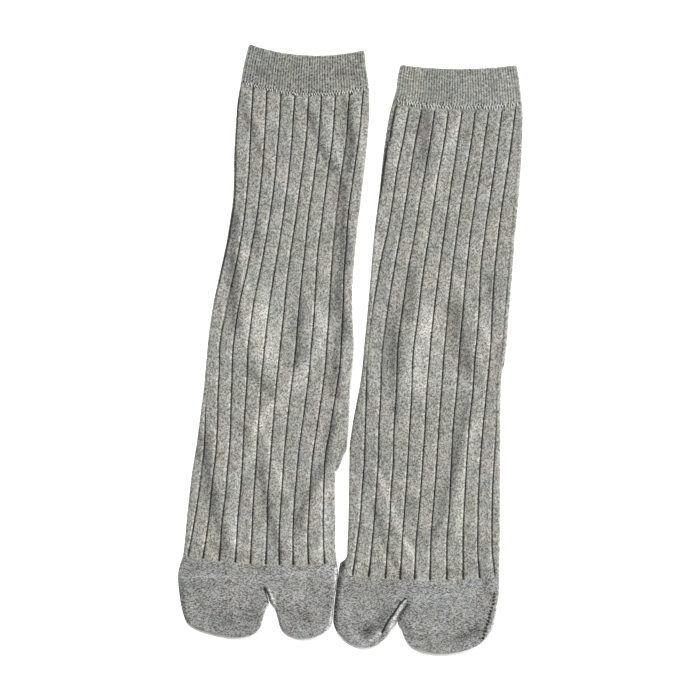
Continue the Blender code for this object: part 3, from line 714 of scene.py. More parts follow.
def hollow_height(middle, top, bottom, opened):
    """Heights of the hollow's upper and lower side, kept a little apart."""
    least = HOLLOW_LEAST / 2
    upper = middle + np.maximum(top - middle, least) * opened
    lower = middle - np.maximum(middle - bottom, least) * opened
    return upper, lower


def within(lines):
    """How far inside the nearer side fold the places of a tube's grid lie."""
    across, _, left, right = lines
    return np.minimum(across - left, right - across)


def tube_heights(sock, lines, thick, crown, knit):
    """Middle, top and bottom of a flattened tube at each point, without its rounded folds."""
    across, along, left, right = lines
    share = np.clip((across - left) / (right - left), 0.0, 1.0)
    lift = heel_lift(sock, across, along)
    top = lift + thick + crown * arch(share) + softness(sock, across, along, knit)
    return lift + thick / 2, top, lift


def tube_hollow(sock, lines, thick, crown, walls, knit):
    """A tube's hollow: its upper and its lower side, each as places across, along and up."""
    across, along, left, right = lines
    inner = inner_across(across, left, right)
    middle, top, bottom = tube_heights(sock, (inner, along, left, right), thick, crown, knit)
    opened = rounded(within(lines), HOLLOW_FULL)
    heights = hollow_height(middle, top - walls[0], bottom + walls[1], opened)
    return [(inner, along, height) for height in heights]


def furrow_places(sock, along, left, right, wander):
    """Places across the front of the furrows between the ribs, and how far each one shows."""
    places, showing = [], []
    for number, across in enumerate(read(sock.furrows, along)):
        across = across + wander * noise(along, number * FURROW_APART, FURROW_STRAYS, number)
        inside = np.minimum(across - left, right - across)
        showing.append(ease((inside - FURROW_HIDES) / (FURROW_SHOWS - FURROW_HIDES)))
        places.append(np.clip(across, left + FURROW_LEAST, right - FURROW_LEAST))
    return places, showing


def leg_columns(places, left, right, steps, shares):
    """Grid lines across the leg: close together at folds and furrows and wider on the ribs."""
    columns = [left + step * FOLD_RADIUS for step in FOLD_STEPS]
    ends = [left + FOLD_RADIUS] + places + [right - FOLD_RADIUS]
    for i, (start, end) in enumerate(zip(ends, ends[1:])):
        first = start + (steps[-1] if i else 0.0)
        last = end - (steps[-1] if i < len(places) else 0.0)
        if i:
            columns += [start + step for step in steps]
        columns += [first + (last - first) * share for share in shares]
        if i < len(places):
            columns += [end - step for step in reversed(steps)] + [end]
    columns += [right - step * FOLD_RADIUS for step in reversed(FOLD_STEPS)]
    return np.stack(columns, axis=1)


def leg_furrows(places, showing, across, width):
    """How much of a furrow, a rib's rounded edge, its rim of painted highlight and a knot lies at
    each point.
    """
    found = [np.zeros(across.shape) for _ in range(4)]
    for middle, share in zip(places, showing):
        off = across - middle[:, None]
        reach = np.where(off < 0, *RIB_EDGES)
        marks = (
            1.0 / (1.0 + (2.0 * np.abs(off) / width) ** 4),
            np.clip(1 - np.abs(off) / reach, 0, 1) ** 2,
            band(off + RIM_OFFSET, RIM_WIDTH),
            band(off - KNOT_OFFSET, KNOT_WIDTH),
        )
        found = [np.maximum(old, mark * share[:, None]) for old, mark in zip(found, marks)]
    return found


def leg_edges(sock, rows):
    """The leg's side folds, where the fuzz of the yarn stands a little proud of the solid."""
    left, right = read(sock.leg, rows)
    proud = ease((sock.seams.toe - rows) / EDGE_FADE)
    return left - sock.proud[0] * proud, right + sock.proud[1] * proud


def bulge_lean(bulge, x, y, left):
    """How far the left fold leans out over the floor at each place."""
    reach = np.interp(y, *zip(*bulge.reach))
    return reach * (1 - ease((x - left) / FOLD_RADIUS))


def make_leg(sock, knit, material):
    """The wide-ribbed tube of the leg and foot."""
    cloth = Cloth(sock)
    cuff, furrowed, toe = sock.seams
    length = toe - cuff
    start = cuff + SEAM_GROOVE / 2

    def layout(rows, steps, shares):
        left, right = leg_edges(sock, rows)
        places, showing = furrow_places(sock, rows, left, right, knit.furrow_wander / MM)
        across = leg_columns(places, left, right, steps, shares)
        down = ((rows - cuff) / length)[:, None]
        left, right = left[:, None], right[:, None]
        share = (across - left) / (right - left)
        along = rows[:, None] + sock.dips.cuff_seam * (1 - down) * bowed(share, sock.dips.bow)
        along = along + sock.dips.toe_seam * down * arch(share)
        return (across, along, left, right), places, showing

    rows = stations(start, toe, LEG_RING)
    inner_rows = stations(start, toe, INNER_RING)
    fade = (ease((rows - furrowed) / FURROW_START) * ease((toe - rows) / FURROW_END))[:, None]
    tips = TOP_TIPS * fading(rows - start, TOP_TIPS_REACH)
    tips = np.maximum(tips, fading(toe - rows, END_TIPS_REACH))[:, None]
    width = knit.furrow_width / MM * (1 + FURROW_TIPS * tips)
    join = fading(rows - start, JOIN_REACH)[:, None]
    knotted = band(rows - furrowed - KNOT_DOWN, KNOT_WIDTH)[:, None]
    for side, steps, shares in ((1, FURROW_STEPS, RIB_SHARES), (-1, UNDER_STEPS, UNDER_SHARES)):
        lines, places, showing = layout(rows, steps, shares)
        across, along, left, _ = lines
        middle, top, bottom = tube_heights(sock, lines, LEG_THICK, LEG_CROWN, knit)
        furrow, edge, rim, knots = leg_furrows(places, showing, across, width)
        furrow, edge, rim = furrow * fade, edge * fade, rim * fade
        knots = knots * knotted * np.clip(patchy(KNOT_PATCHES, across, KNOT_ROW), 0, PATCH_MOST)
        gaps = np.clip(patchy(JOIN_PATCHES, across, JOIN_ROW), 0, PATCH_MOST)
        # Painted shade in the furrows, darker near their tips, on top of the shade that their
        # relief casts.
        shade = furrow * (patchy(FURROW_PATCHES, across, along) + FURROW_TIPS_SHADE * tips)
        # Painted highlight and shade along the creases; painted shade in the gaps of the join row
        # under the cuff.
        shade = shade + crease_painted_shading(sock, across, along, knit) + join * gaps
        shade = shade + sock.loops.knots * knots
        # Painted shade along the edging furrow inside the left fold.
        inset, tone = read(sock.edging, along)
        shade = shade + tone * band(across - left - inset, EDGING_WIDTH)
        lean = bulge_lean(sock.bulge, across, along, left)
        if side > 0:
            shade = shade + sock.bulge.shade * ease(lean)
        # Painted highlight on the rim left of each furrow, where the rib's edge faces the key
        # light.
        shade = shade - RIM_PAINTED_HIGHLIGHT * rim * (1 - furrow) * patchy(RIM_PATCHES, RIM_COLUMN, along)
        full = rounded(within(lines), FOLD_RADIUS)
        relief = knit.furrow_depth / MM * furrow + knit.rib_rounding / MM * edge + JOIN_DROP * join
        if side > 0:
            height = middle + (top - middle) * full - relief * full
        else:
            height = middle - (middle - bottom) * full + UNDER_FURROW * relief * full
        skin = (across - lean, along, height, shade)
        walls = (RIB_WALL, PLAIN_WALL)
        inner_lines = layout(inner_rows, steps, shares)[0]
        linings = tube_hollow(sock, inner_lines, LEG_THICK, LEG_CROWN, walls, knit)
        lining = linings[0 if side > 0 else 1]
        cloth.grid(*skin, side=side)
        cloth.grid(*lining, side=side)
        for end in (0, -1):
            cloth.rim(skin, lining, end, side)
    piece = cloth.finish(f"{sock.name}_leg_cloth", material, "wide_rib_knit")
    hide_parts(f"{sock.name}_leg_foot")
    return piece


def make_cuff(sock, knit, material):
    """The turned cuff in fine rib, with a rolled mouth."""
    cloth = Cloth(sock)
    end = sock.seams.cuff - SEAM_GROOVE / 2
    roll = CUFF_WALL / 2
    dips = sock.dips

    def layout(rows):
        left, right = (edge[:, None] for edge in leg_edges(sock, rows))
        ribs = np.linspace(0.0, 1.0, knit.cuff_ribs * CUFF_RIB_STEPS + 1)
        body = left + FOLD_RADIUS + ribs * (right - left - 2 * FOLD_RADIUS)
        steps = np.array(FOLD_STEPS[:-1]) * FOLD_RADIUS
        across = np.hstack([left + steps, body, right - steps[::-1]])
        down = (rows / end)[:, None]
        crown = MOUTH_CROWN * (1 - down) + LEG_CROWN * down
        share = (across - left) / (right - left)
        raised = dips.raised[0] * (1 - share) + dips.raised[1] * share
        corner = 1 - rounded(np.minimum(across - left, right - across), CORNER_REACH)
        mouth = dips.mouth * arch(share) - raised + CORNER_DROP * corner
        along = rows[:, None] + mouth * (1 - down)
        along = along + dips.cuff_seam * bowed(share, dips.bow) * down
        return (across, along, left, right), crown

    rows = stations(roll, end, CUFF_RING)
    lines, crown = layout(rows)
    across, along, left, right = lines
    middle, top, bottom = tube_heights(sock, lines, CUFF_THICK, crown, knit)
    full = rounded(within(lines), FOLD_RADIUS)
    turn = (across - left - FOLD_RADIUS) / (right - left - 2 * FOLD_RADIUS) * knit.cuff_ribs
    stitch_height = knit.stitch_height / MM
    shown = ease((within(lines) - CUFF_RIBS_INSET) / CUFF_RIBS_SHOW)
    turned, up_down = turn * CUFF_UNEVEN_STEPS, along * CUFF_UNEVEN_STEPS / stitch_height
    stitch = noise(turned, up_down, CUFF_UNEVEN_CELL, CUFF_UNEVEN_SEED)
    valley = wave(turn) * shown
    bead = wave(along / stitch_height + np.floor(turn) * CUFF_BEAD_STEP)
    depth = knit.cuff_rib_depth / MM * valley + CUFF_BEAD * bead * (1 - valley) * shown
    depth = depth * (1 + CUFF_UNEVEN * stitch)
    near_end = ease((end - rows) / CUFF_END)[:, None]
    beading = band(end - rows - BEADING_UP, BEADING_WIDTH)[:, None]
    drop = depth * near_end * (1 - CUFF_UNEVEN * beading) + CUFF_END_DROP * (1 - near_end)
    drop = drop - CUFF_BEADING * beading
    upper = middle + (top - middle - drop) * full
    lower = middle - (middle - bottom) * full + UNDER_FURROW * depth * near_end * full
    # Painted shade in the valleys between the fine ribs; along the beading row, painted shade in
    # the valleys and painted highlight on the crests; painted highlight and shade along the
    # creases.
    shade = CUFF_VALLEY_SHADE * valley * near_end * (1 + stitch) + sock.cuff_shade
    beads = BEADING_SHADE_AND_HIGHLIGHT[0] * valley - BEADING_SHADE_AND_HIGHLIGHT[1] * (1 - valley)
    shade = shade + beading * beads * (1 + stitch) + crease_painted_shading(sock, across, along, knit)
    skins = [(across, along, upper), (across, along, lower)]
    inner_lines, crown = layout(stations(roll, end, INNER_RING))
    walls = (CUFF_WALL, CUFF_WALL)
    linings = tube_hollow(sock, inner_lines, CUFF_THICK, crown, walls, knit)
    for skin, side in zip(skins, (1, -1)):
        cloth.grid(*skin, shade, side=side)
    for lining, side in zip(linings, (1, -1)):
        cloth.grid(*lining, side=side)
    angles = np.linspace(math.pi / 2, -math.pi / 2, MOUTH_STEPS + 1)[:, None]
    for skin, lining, side in zip(skins, linings, (1, -1)):
        cloth.rim(skin, lining, -1)
        middles = [(outer[0] + inner[0]) / 2 for outer, inner in zip(skin, lining)]
        halves = [(outer[0] - inner[0]) / 2 for outer, inner in zip(skin, lining)]
        cloth.grid(
            middles[0] + halves[0] * np.sin(angles),
            middles[1] - roll * np.cos(angles),
            middles[2] + halves[2] * np.sin(angles),
            side=side,
        )
    piece = cloth.finish(f"{sock.name}_cuff_cloth", material, "fine_rib_knit")
    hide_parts(f"{sock.name}_cuff")
    return piece


def half_columns(left, right, sock, side):
    """Grid lines from a side fold to the slit, or back, close together at both."""
    steps = np.array(FOLD_STEPS)
    count = TOE_POINTS[side]
    width = right - left
    radius = np.minimum(FOLD_RADIUS, width / 3)
    slit = np.minimum(sock.roll[side], width / 3)
    shares = np.arange(1, count + 1) / (count + 1)
    inner = left + radius + shares * (width - radius - slit)
    return np.hstack([left + steps * radius, inner, right - steps[::-1] * slit])


def lobe_places(sock, side):
    """Places of one lobe's grid, down to its tip, in rows turned from the crotch at 0 to 90."""
    edge = sock.toe[-1]
    ends = [(edge.left, sock.crotch.across), (sock.crotch.across, edge.right)]
    rows = [Section(edge.along, *ends[side]), *sock.lobes[side]]
    start = edge.along
    reach = rows[-1].along - start
    by_angle = [
        (math.degrees(math.asin(min(1.0, (row.along - start) / reach))), row.left, row.right)
        for row in rows
    ]
    angles = np.linspace(0.0, 90.0, LOBE_RINGS)
    left, right = (column[:, None] for column in read(by_angle, angles))
    across = half_columns(left, right, sock, side)
    along = start + reach * np.sin(np.radians(angles))[:, None]
    return across, along + across * 0


def toe_places(sock):
    """Places of the toe's grid: a whole part down to the crotch, and then two lobes."""
    seam, crotch = sock.seams.toe, sock.crotch
    rows = stations(seam, crotch.along, TOE_RING)
    left, right = (column[:, None] for column in read(sock.toe, rows))
    middle = left * 0 + crotch.across
    halves = [half_columns(left, middle, sock, 0), half_columns(middle, right, sock, 1)]
    across = np.hstack([halves[0], halves[1][:, 1:]])
    dip = sock.dips.toe_seam * (1 - ((rows - seam) / (crotch.along - seam))[:, None])
    along = rows[:, None] + dip * arch((across - left) / (right - left))
    return [(across, along), lobe_places(sock, 0), lobe_places(sock, 1)]


def toe_outline(parts):
    """The toe's outline from its left fold at the seam round to the right one."""
    sides = [[np.stack([x[:, end], y[:, end]], axis=1) for end in (0, -1)] for x, y in parts]
    (left, right), *lobes = sides
    edges = [left]
    for down, up in lobes:
        edges += [down, up[::-1]]
    return np.vstack([*edges, right[::-1]])


def make_toe(sock, knit, material):
    """The plain toe, which parts into a lobe for the big toe and one for the others."""
    cloth = Cloth(sock)
    parts = toe_places(sock)
    outline = toe_outline(parts)
    edge = [tuple(outline[0])]
    for point in outline[1:]:
        if math.dist(point, edge[-1]) > SAME_PLACE:
            edge.append(tuple(point))
    seam = sock.seams.toe

    def heights(x, y):
        blend = ease((y - seam) / TOE_BLEND)
        thick = LEG_THICK + (TOE_THICK - LEG_THICK) * blend
        crown = LEG_CROWN + (TOE_CROWN - LEG_CROWN) * blend
        return tube_heights(sock, (x, y, *read(sock.toe, y)), thick, crown, knit)

    skins = []
    for number, (x, y) in enumerate(parts):
        distance = beside(edge, x, y)[0]
        middle, top, bottom = heights(x, y)
        radius = FOLD_RADIUS
        if number:
            off_slit = x[:, -1:] - x if number == 1 else x - x[:, :1]
            near_slit = fading(off_slit, SLIT_REACH) * ease((y - sock.crotch.along) / SLIT_START)
            radius = FOLD_RADIUS + (sock.roll[number - 1] - FOLD_RADIUS) * near_slit
        # Painted shade and highlight of the toe's lines and creases, and painted shade on the
        # leaning fold's side.
        relief, shade = toe_line_relief_and_shading(sock, x, y)
        lean = bulge_lean(sock.bulge, x, y, read(sock.toe + sock.lobes[0], y)[0])
        shade = shade + crease_painted_shading(sock, x, y, knit) + sock.bulge.shade * ease(lean)
        upper = middle + (top - middle + relief) * rounded(distance, radius)
        lower = middle - (middle - bottom) * rounded(distance, FOLD_RADIUS)
        linked = linked_seam(sock, x, y)
        cloth.grid(x - lean, y, upper, shade, seam=linked)
        cloth.grid(x - lean, y, lower, side=-1, seam=linked)
        skins += [(x - lean, y, upper), (x - lean, y, lower)]

    for number, (x, y) in enumerate(parts):
        every = np.unique(np.r_[0:len(x):TOE_INNER_EVERY, len(x) - 1])
        x, y = x[every], y[every]
        inner_x, inner_y = inset_places(x, y, edge, seam)
        middle, top, bottom = heights(inner_x, inner_y)
        opened = rounded(beside(edge, x, y)[0], HOLLOW_FULL)
        sides = hollow_height(middle, top - PLAIN_WALL, bottom + PLAIN_WALL, opened)
        for height, side in zip(sides, (1, -1)):
            cloth.grid(inner_x, inner_y, height, side=side)
        if number == 0:
            for skin, height in zip(skins, sides):
                cloth.rim(skin, (inner_x, inner_y, height), 0)
    piece = cloth.finish(f"{sock.name}_toe_cloth", material, "toe_knit")
    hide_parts(f"{sock.name}_toe")
    return piece


def inset_places(x, y, edge, seam):
    """Places of the toe's hollow: those near an edge are moved straight in from it."""
    step = SLOPE_STEP

    def slope(dx, dy):
        ahead, behind = beside(edge, x + dx, y + dy)[0], beside(edge, x - dx, y - dy)[0]
        return (ahead - behind) / (2 * step)

    distance = beside(edge, x, y)[0]
    moved = inner_distance(distance) - distance
    down = np.where(y > seam + SEAM_KEPT, slope(0.0, step) * moved, 0.0)
    return x + slope(step, 0.0) * moved, y + down


def make_heel(sock, knit, material):
    """The heel pouch folded flat beneath the sock, two layers thick at its edge."""
    cloth = Cloth(sock)
    edge = heel_edge(sock, HEEL_POINTS)
    chord = np.roll(edge, -1, axis=0) - np.roll(edge, 1, axis=0)
    chord /= np.maximum(np.hypot(chord[:, 0], chord[:, 1]), SAME_PLACE)[:, None]
    inward = np.stack([-chord[:, 1], chord[:, 0]], axis=1)
    centre = edge.mean(axis=0)
    uneven = patchy(HEEL_WAVE, edge[:, 0], edge[:, 1])
    rings = [
        np.column_stack([edge + inward * (inset * uneven)[:, None], np.full(len(edge), height)])
        for height, inset in HEEL_PROFILE
    ]
    below, above = (
        [np.column_stack([centre + (ring[:, :2] - centre) * share, ring[:, 2]])
         for share in HEEL_SHRINK]
        for ring in (rings[0], rings[-1])
    )
    rows = np.stack(below[::-1] + rings + above)
    rows = np.concatenate([rows, rows[:, :1]], axis=1)
    cloth.grid(rows[:, :, 0], rows[:, :, 1], rows[:, :, 2])
    piece = cloth.finish(f"{sock.name}_heel_cloth", material, "heel_knit")
    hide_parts(f"{sock.name}_heel")
    return piece


def tube(points, radius, sides=6):
    """Points and faces of a short piece of yarn along a line of points, closed at both ends."""
    points = np.array(points, float)
    ways = np.gradient(points, axis=0)
    ways /= np.linalg.norm(ways, axis=1)[:, None]
    up = np.array([0.0, 0.0, 1.0])
    angles = np.linspace(0.0, 2 * math.pi, sides, endpoint=False)
    verts = [points[0]]
    for point, way in zip(points[1:-1], ways[1:-1]):
        side = np.cross(way, up)
        side /= max(np.linalg.norm(side), SAME_PLACE)
        over = np.cross(side, way)
        for angle in angles:
            verts.append(point + radius * (math.cos(angle) * side + math.sin(angle) * over))
    verts.append(points[-1])
    last = len(verts) - 1
    end = last - sides
    round_about = [(k, (k + 1) % sides) for k in range(sides)]
    faces = []
    for k, after in round_about:
        faces += [(0, 1 + after, 1 + k), (last, end + k, end + after)]
    for base in range(1, end, sides):
        for k, after in round_about:
            faces.append((base + k, base + after, base + sides + after, base + sides + k))
    return verts, faces


def make_stitches(sock, knit, material):
    """Loops of yarn that join the cuff to the leg, one for each fine rib of the front."""
    dice = np.random.default_rng(sock.seeds.loops)
    seam = sock.seams.cuff
    left, right = (float(column) for column in leg_edges(sock, seam))
    loops = knit.cuff_ribs - 1
    verts, faces = [], []
    for number in range(loops):
        share = LOOP_MARGIN + (1 - 2 * LOOP_MARGIN) * (number + 0.5) / loops
        x = left + share * (right - left) + dice.uniform(-LOOP_STRAY[0], LOOP_STRAY[0])
        y = seam + sock.dips.cuff_seam * bowed(share, sock.dips.bow)
        y = y + dice.uniform(-LOOP_STRAY[1], LOOP_STRAY[1])
        lean = dice.uniform(*LOOP_LEANS)
        reach = dice.uniform(*sock.loops.reach)
        radius = dice.uniform(*sock.loops.radius)
        top = CUFF_THICK + LEG_CROWN * arch(share) - LOOP_SINKS
        top += float(softness(sock, np.array([x]), np.array([y]), knit)[0])
        path = [
            (x + lean * over, y + reach * down + on, top + up) for over, down, on, up in LOOP_PATH
        ]
        made, skin = tube(path, radius)
        faces += [tuple(corner + len(verts) for corner in face) for face in skin]
        verts += made
    mesh = bpy.data.meshes.new(f"{sock.name}_cuff_stitches")
    verts = np.array(verts)
    mesh.from_pydata(place(sock, verts), [], faces)
    add_map(mesh, "knit", verts[:, :2], [corner for face in faces for corner in face])
    return finish_piece(mesh, mesh.name, material)


# The yarn's finishes: the setting that holds the tone, then a fleck's length and height in
# millimetres and its contrast, the relief of the stitches and whether a linked seam is dotted
YARNS = {
    "wide_rib_yarn": ("leg_tone", (1.15, 1.5, 1.42), 0.12, False),
    "fine_rib_yarn": ("cuff_tone", (1.1, 1.6, 0.95), 0.12, False),
    "toe_yarn": ("toe_tone", (1.45, 0.95, 1.7), 0.12, True),
    "heel_yarn": ("toe_tone", (1.45, 0.95, 1.7), 0.12, False),
    "joining_yarn": ("joining_tone", (1.2, 1.2, 0.3), 0.05, False),
}

# The fleck of the yarn: cells and a cloud of noise, with its scale, detail and roughness
FLECK_CELLS = 1.7
CELL_SHARE = 0.55
CLOUD = (1.0, 2.0, 0.85)
CLOUD_SHARE = 0.6
CLOUD_DROP = -0.575

# The shape of the plain stitches and of a linked seam's dots: a swing and a middle for each
STITCH_LEAN = 1.4
STITCH_ROW = (0.35, 0.65)
SEAM_DOTS = (0.5, 0.6)

# What lies over the flecks. A hue has its shift and its two ends, a noise its scale, detail and
# roughness, and a grain the range of the flecks and what that becomes
HUES = (
    (0.0, (1.03, 1.0, 1.0, 1.0), (0.965, 1.0, 1.0, 1.0)),
    (0.7, (1.0, 1.0, 1.03, 1.0), (1.0, 1.0, 0.965, 1.0)),
)
HUE_NOISE = (75.0, 2.0)
HUE_RANGE = (0.35, 0.65)
PATCH_NOISE = (80.0, 4.0, 0.62)
PATCH_RANGE = (0.3, 0.7)
FUZZ_NOISE = (2600.0, 2.0)
BLACK = (0.0, 0.0, 0.0, 1.0)
SHADE_AND_SEAM_DOT_COLOUR = (0.015, 0.015, 0.013, 1.0)
PAINTED_HIGHLIGHT_COLOUR = (2.36, 2.4, 2.47, 1.0)
SHADE_GRAIN = (0.0, 1.0, 1.3, 0.75)
DOT_GRAIN = (0.2, 0.8, 1.5, 0.9)
STITCH_SHARE = 0.4
FUZZ_SHARE = 0.6


class Net:
    """Nodes of one node tree, with short ways to add and link them."""

    def __init__(self, tree):
        self.tree = tree
        self.across = 0

    def give(self, node, inputs):
        """Give a node's inputs their values, or links from other nodes' outputs."""
        for key, value in inputs.items():
            if isinstance(value, bpy.types.NodeSocket):
                self.tree.links.new(value, node.inputs[key])
            else:
                node.inputs[key].default_value = value

    def node(self, kind, inputs=None, **settings):
        made = self.tree.nodes.new(kind)
        made.location = (self.across, 0)
        self.across += 180
        for name, value in settings.items():
            setattr(made, name, value)
        self.give(made, inputs or {})
        return made

    def math(self, operation, *values):
        made = self.node("ShaderNodeMath", dict(enumerate(values)), operation=operation)
        return made.outputs[0]

    def times(self, first, second):
        return self.math("MULTIPLY", first, second)

    def noise(self, vector, scale, detail, roughness=0.5):
        inputs = {"Vector": vector, "Scale": scale, "Detail": detail, "Roughness": roughness}
        made = self.node("ShaderNodeTexNoise", inputs, noise_dimensions="3D")
        return made.outputs["Fac"]

    def range(self, value, low, high, to_low, to_high):
        names = ("Value", "From Min", "From Max", "To Min", "To Max")
        inputs = dict(zip(names, (value, low, high, to_low, to_high)))
        return self.node("ShaderNodeMapRange", inputs, clamp=True).outputs["Result"]

    def mix(self, share, first, second, blend="MIX"):
        inputs = {0: share, 6: first, 7: second}
        made = self.node("ShaderNodeMix", inputs, data_type="RGBA", blend_type=blend)
        return made.outputs[2]

    def millimetres(self, name):
        """The places of a UV map, back in millimetres."""
        flat = self.node("ShaderNodeUVMap", uv_map=name).outputs["UV"]
        inputs = {0: flat, "Scale": KNIT_UNIT}
        return self.node("ShaderNodeVectorMath", inputs, operation="SCALE").outputs[0]

    def effect(self, name, **inputs):
        """What a shared effect gives for its inputs."""
        tree = bpy.data.node_groups[name]
        return self.node("ShaderNodeGroup", inputs, node_tree=tree).outputs[0]


def heather_fleck(net, x, y, length, height, contrast):
    """The fleck of a heather yarn, as a share from dark to light fibre."""
    inputs = {"X": net.math("DIVIDE", x, length), "Y": net.math("DIVIDE", y, height)}
    spot = net.node("ShaderNodeCombineXYZ", inputs).outputs[0]
    inputs = {"Vector": spot, "Scale": FLECK_CELLS}
    cells = net.node("ShaderNodeTexVoronoi", inputs, voronoi_dimensions="2D", feature="F1")
    tones = net.node("ShaderNodeSeparateColor", {0: cells.outputs["Color"]})
    cloud = net.math("MULTIPLY_ADD", net.noise(spot, *CLOUD), CLOUD_SHARE, CLOUD_DROP)
    fleck = net.math("MULTIPLY_ADD", tones.outputs[0], CELL_SHARE, cloud)
    return net.range(net.math("MULTIPLY_ADD", fleck, contrast, 0.5), 0.0, 1.0, 0.0, 1.0)


def plain_stitches(net, x, y, width, height):
    """The height of plain knitting, whose stitches are small leaning pairs."""
    wale = net.math("DIVIDE", x, width)
    side = net.math("ABSOLUTE", net.math("SUBTRACT", net.math("FRACT", wale), 0.5))
    lean = net.math("SUBTRACT", net.math("DIVIDE", y, height), net.times(side, STITCH_LEAN))
    row = net.math("SINE", net.times(lean, 2 * math.pi))
    leg = net.math("SINE", net.times(side, 2 * math.pi))
    return net.times(net.math("MULTIPLY_ADD", row, *STITCH_ROW), leg)


def linked_seam_dots(net, x, y, width, pitch):
    """The dots of a linked seam, from the way off its line and along it."""
    off = net.math("DIVIDE", x, width)
    near = net.math("EXPONENT", net.times(net.times(off, off), -1.0))
    turn = net.times(net.math("DIVIDE", y, pitch), 2 * math.pi)
    return net.times(near, net.math("MULTIPLY_ADD", net.math("COSINE", turn), *SEAM_DOTS))


# The shared effects: a name, the place it reads, its sizes, what it gives and how it is built
EFFECTS = (
    ("heather_fleck", "Knit", {"Length": 1.6, "Height": 0.9, "Contrast": 1.7}, "Fleck",
     heather_fleck),
    ("plain_stitches", "Knit", {"Width": 0.95, "Height": 0.8}, "Stitch", plain_stitches),
    ("linked_seam", "Seam", {"Width": 0.85, "Pitch": 2.5}, "Dots", linked_seam_dots),
)


def shared_effect(name, spot, sizes, gives, build):
    """Build a node group that reads a place and some sizes and gives one value."""
    group = bpy.data.node_groups.new(name, "ShaderNodeTree")
    sockets = group.interface
    sockets.new_socket(name=spot, in_out="INPUT", socket_type="NodeSocketVector")
    for size, usual in sizes.items():
        made = sockets.new_socket(name=size, in_out="INPUT", socket_type="NodeSocketFloat")
        made.default_value = usual
    sockets.new_socket(name=gives, in_out="OUTPUT", socket_type="NodeSocketFloat")
    net = Net(group)
    start = net.node("NodeGroupInput").outputs
    split = net.node("ShaderNodeSeparateXYZ", {0: start[spot]}).outputs
    value = build(net, split["X"], split["Y"], *(start[size] for size in sizes))
    net.node("NodeGroupOutput", {gives: value})


def knit_material(name, yarn, knit):
    """A heather yarn knitted plain or in rib."""
    tone, (length, height, contrast), bump, seamed = YARNS[name]
    material = bpy.data.materials.new(name)
    material.use_nodes = True
    net = Net(material.node_tree)
    flat = net.millimetres("knit")
    fleck = net.effect("heather_fleck", Knit=flat, Length=length, Height=height, Contrast=contrast)
    stitch = (knit.stitch_width / MM, knit.stitch_height / MM)
    stitches = net.effect("plain_stitches", Knit=flat, Width=stitch[0], Height=stitch[1])
    dark, light = (
        (*(channel * dye for channel, dye in zip(fibre, getattr(yarn, tone))), 1.0)
        for fibre in (yarn.dark_fibre, yarn.light_fibre)
    )
    colour = net.mix(fleck, dark, light)
    spot = net.node("ShaderNodeTexCoord").outputs["Object"]
    patch = net.range(net.noise(spot, *PATCH_NOISE), *PATCH_RANGE, 0.0, yarn.patches)
    colour = net.mix(patch, colour, BLACK)
    for shift, one, other in HUES:
        inputs = {0: spot, 1: (shift, 0.0, 0.0)}
        moved = net.node("ShaderNodeVectorMath", inputs, operation="ADD").outputs[0]
        hue = net.range(net.noise(moved, *HUE_NOISE), *HUE_RANGE, 0.0, 1.0)
        colour = net.mix(1.0, colour, net.mix(hue, one, other), "MULTIPLY")
    shade = net.node("ShaderNodeAttribute", attribute_type="GEOMETRY", attribute_name="shade")
    tint = net.times(shade.outputs["Fac"], net.range(fleck, *SHADE_GRAIN))
    if seamed:
        # Darker dots along the linked seams, broken up by the flecks.
        dots = net.effect("linked_seam", Seam=net.millimetres("seam"))
        flecked_seam_dots = net.times(dots, net.range(fleck, *DOT_GRAIN))
        tint = net.math("MULTIPLY_ADD", flecked_seam_dots, yarn.seam_shade, tint)
    # Painted shade: a positive tint darkens the colour towards near black, in the furrows, creases
    # and crevices, on shaded sides, and at the dots of the linked seams.
    colour = net.mix(net.range(tint, 0.0, 1.0, 0.0, yarn.furrow_shade), colour, SHADE_AND_SEAM_DOT_COLOUR)
    # Painted highlight: a negative tint lightens the colour, on the furrows' rims, pale creases and
    # the toe's lit strips and rims.
    pale = net.range(net.times(tint, -1.0), 0.0, 1.0, 0.0, 1.0)
    colour = net.mix(pale, colour, PAINTED_HIGHLIGHT_COLOUR, "MULTIPLY")
    fuzz = net.times(net.noise(spot, *FUZZ_NOISE), FUZZ_SHARE)
    high = net.math("MULTIPLY_ADD", stitches, STITCH_SHARE, fuzz)
    relief = net.node("ShaderNodeBump", {"Strength": 1.0, "Distance": bump * MM, "Height": high})
    net.give(net.tree.nodes["Principled BSDF"], {
        "Base Color": colour,
        "Normal": relief.outputs["Normal"],
        "Roughness": 0.95,
        "Specular IOR Level": 0.15,
        "Sheen Weight": yarn.sheen,
        "Sheen Roughness": 0.5,
    })
    return material


def material_for(name):
    """A finished knit material, made once and shared by the pair."""
    found = bpy.data.materials.get(name)
    if found:
        return found
    for effect in EFFECTS:
        if effect[0] not in bpy.data.node_groups:
            shared_effect(*effect)
    scene = bpy.context.scene
    return knit_material(name, scene.tabi_yarn, scene.tabi_knit)


def metres(name, description, default, least, most, precision=5):
    """A setting that is a size in metres."""
    return bpy.props.FloatProperty(
        name=name, description=description, default=default, min=least, max=most,
        precision=precision, unit="LENGTH")


def amount(name, description, default, most=1.0):
    """A setting that is a plain amount from nothing up."""
    return bpy.props.FloatProperty(
        name=name, description=description, default=default, min=0.0, max=most)


def angle(name, description, degrees):
    """A setting that is an angle."""
    return bpy.props.FloatProperty(
        name=name, description=description, default=math.radians(degrees), subtype="ANGLE")


def dye(name, description, default, least=0.0, most=1.0):
    """A setting that is a colour or the tone of one."""
    return bpy.props.FloatVectorProperty(
        name=name, description=description, default=default, min=least, max=most, size=3,
        subtype="COLOR")


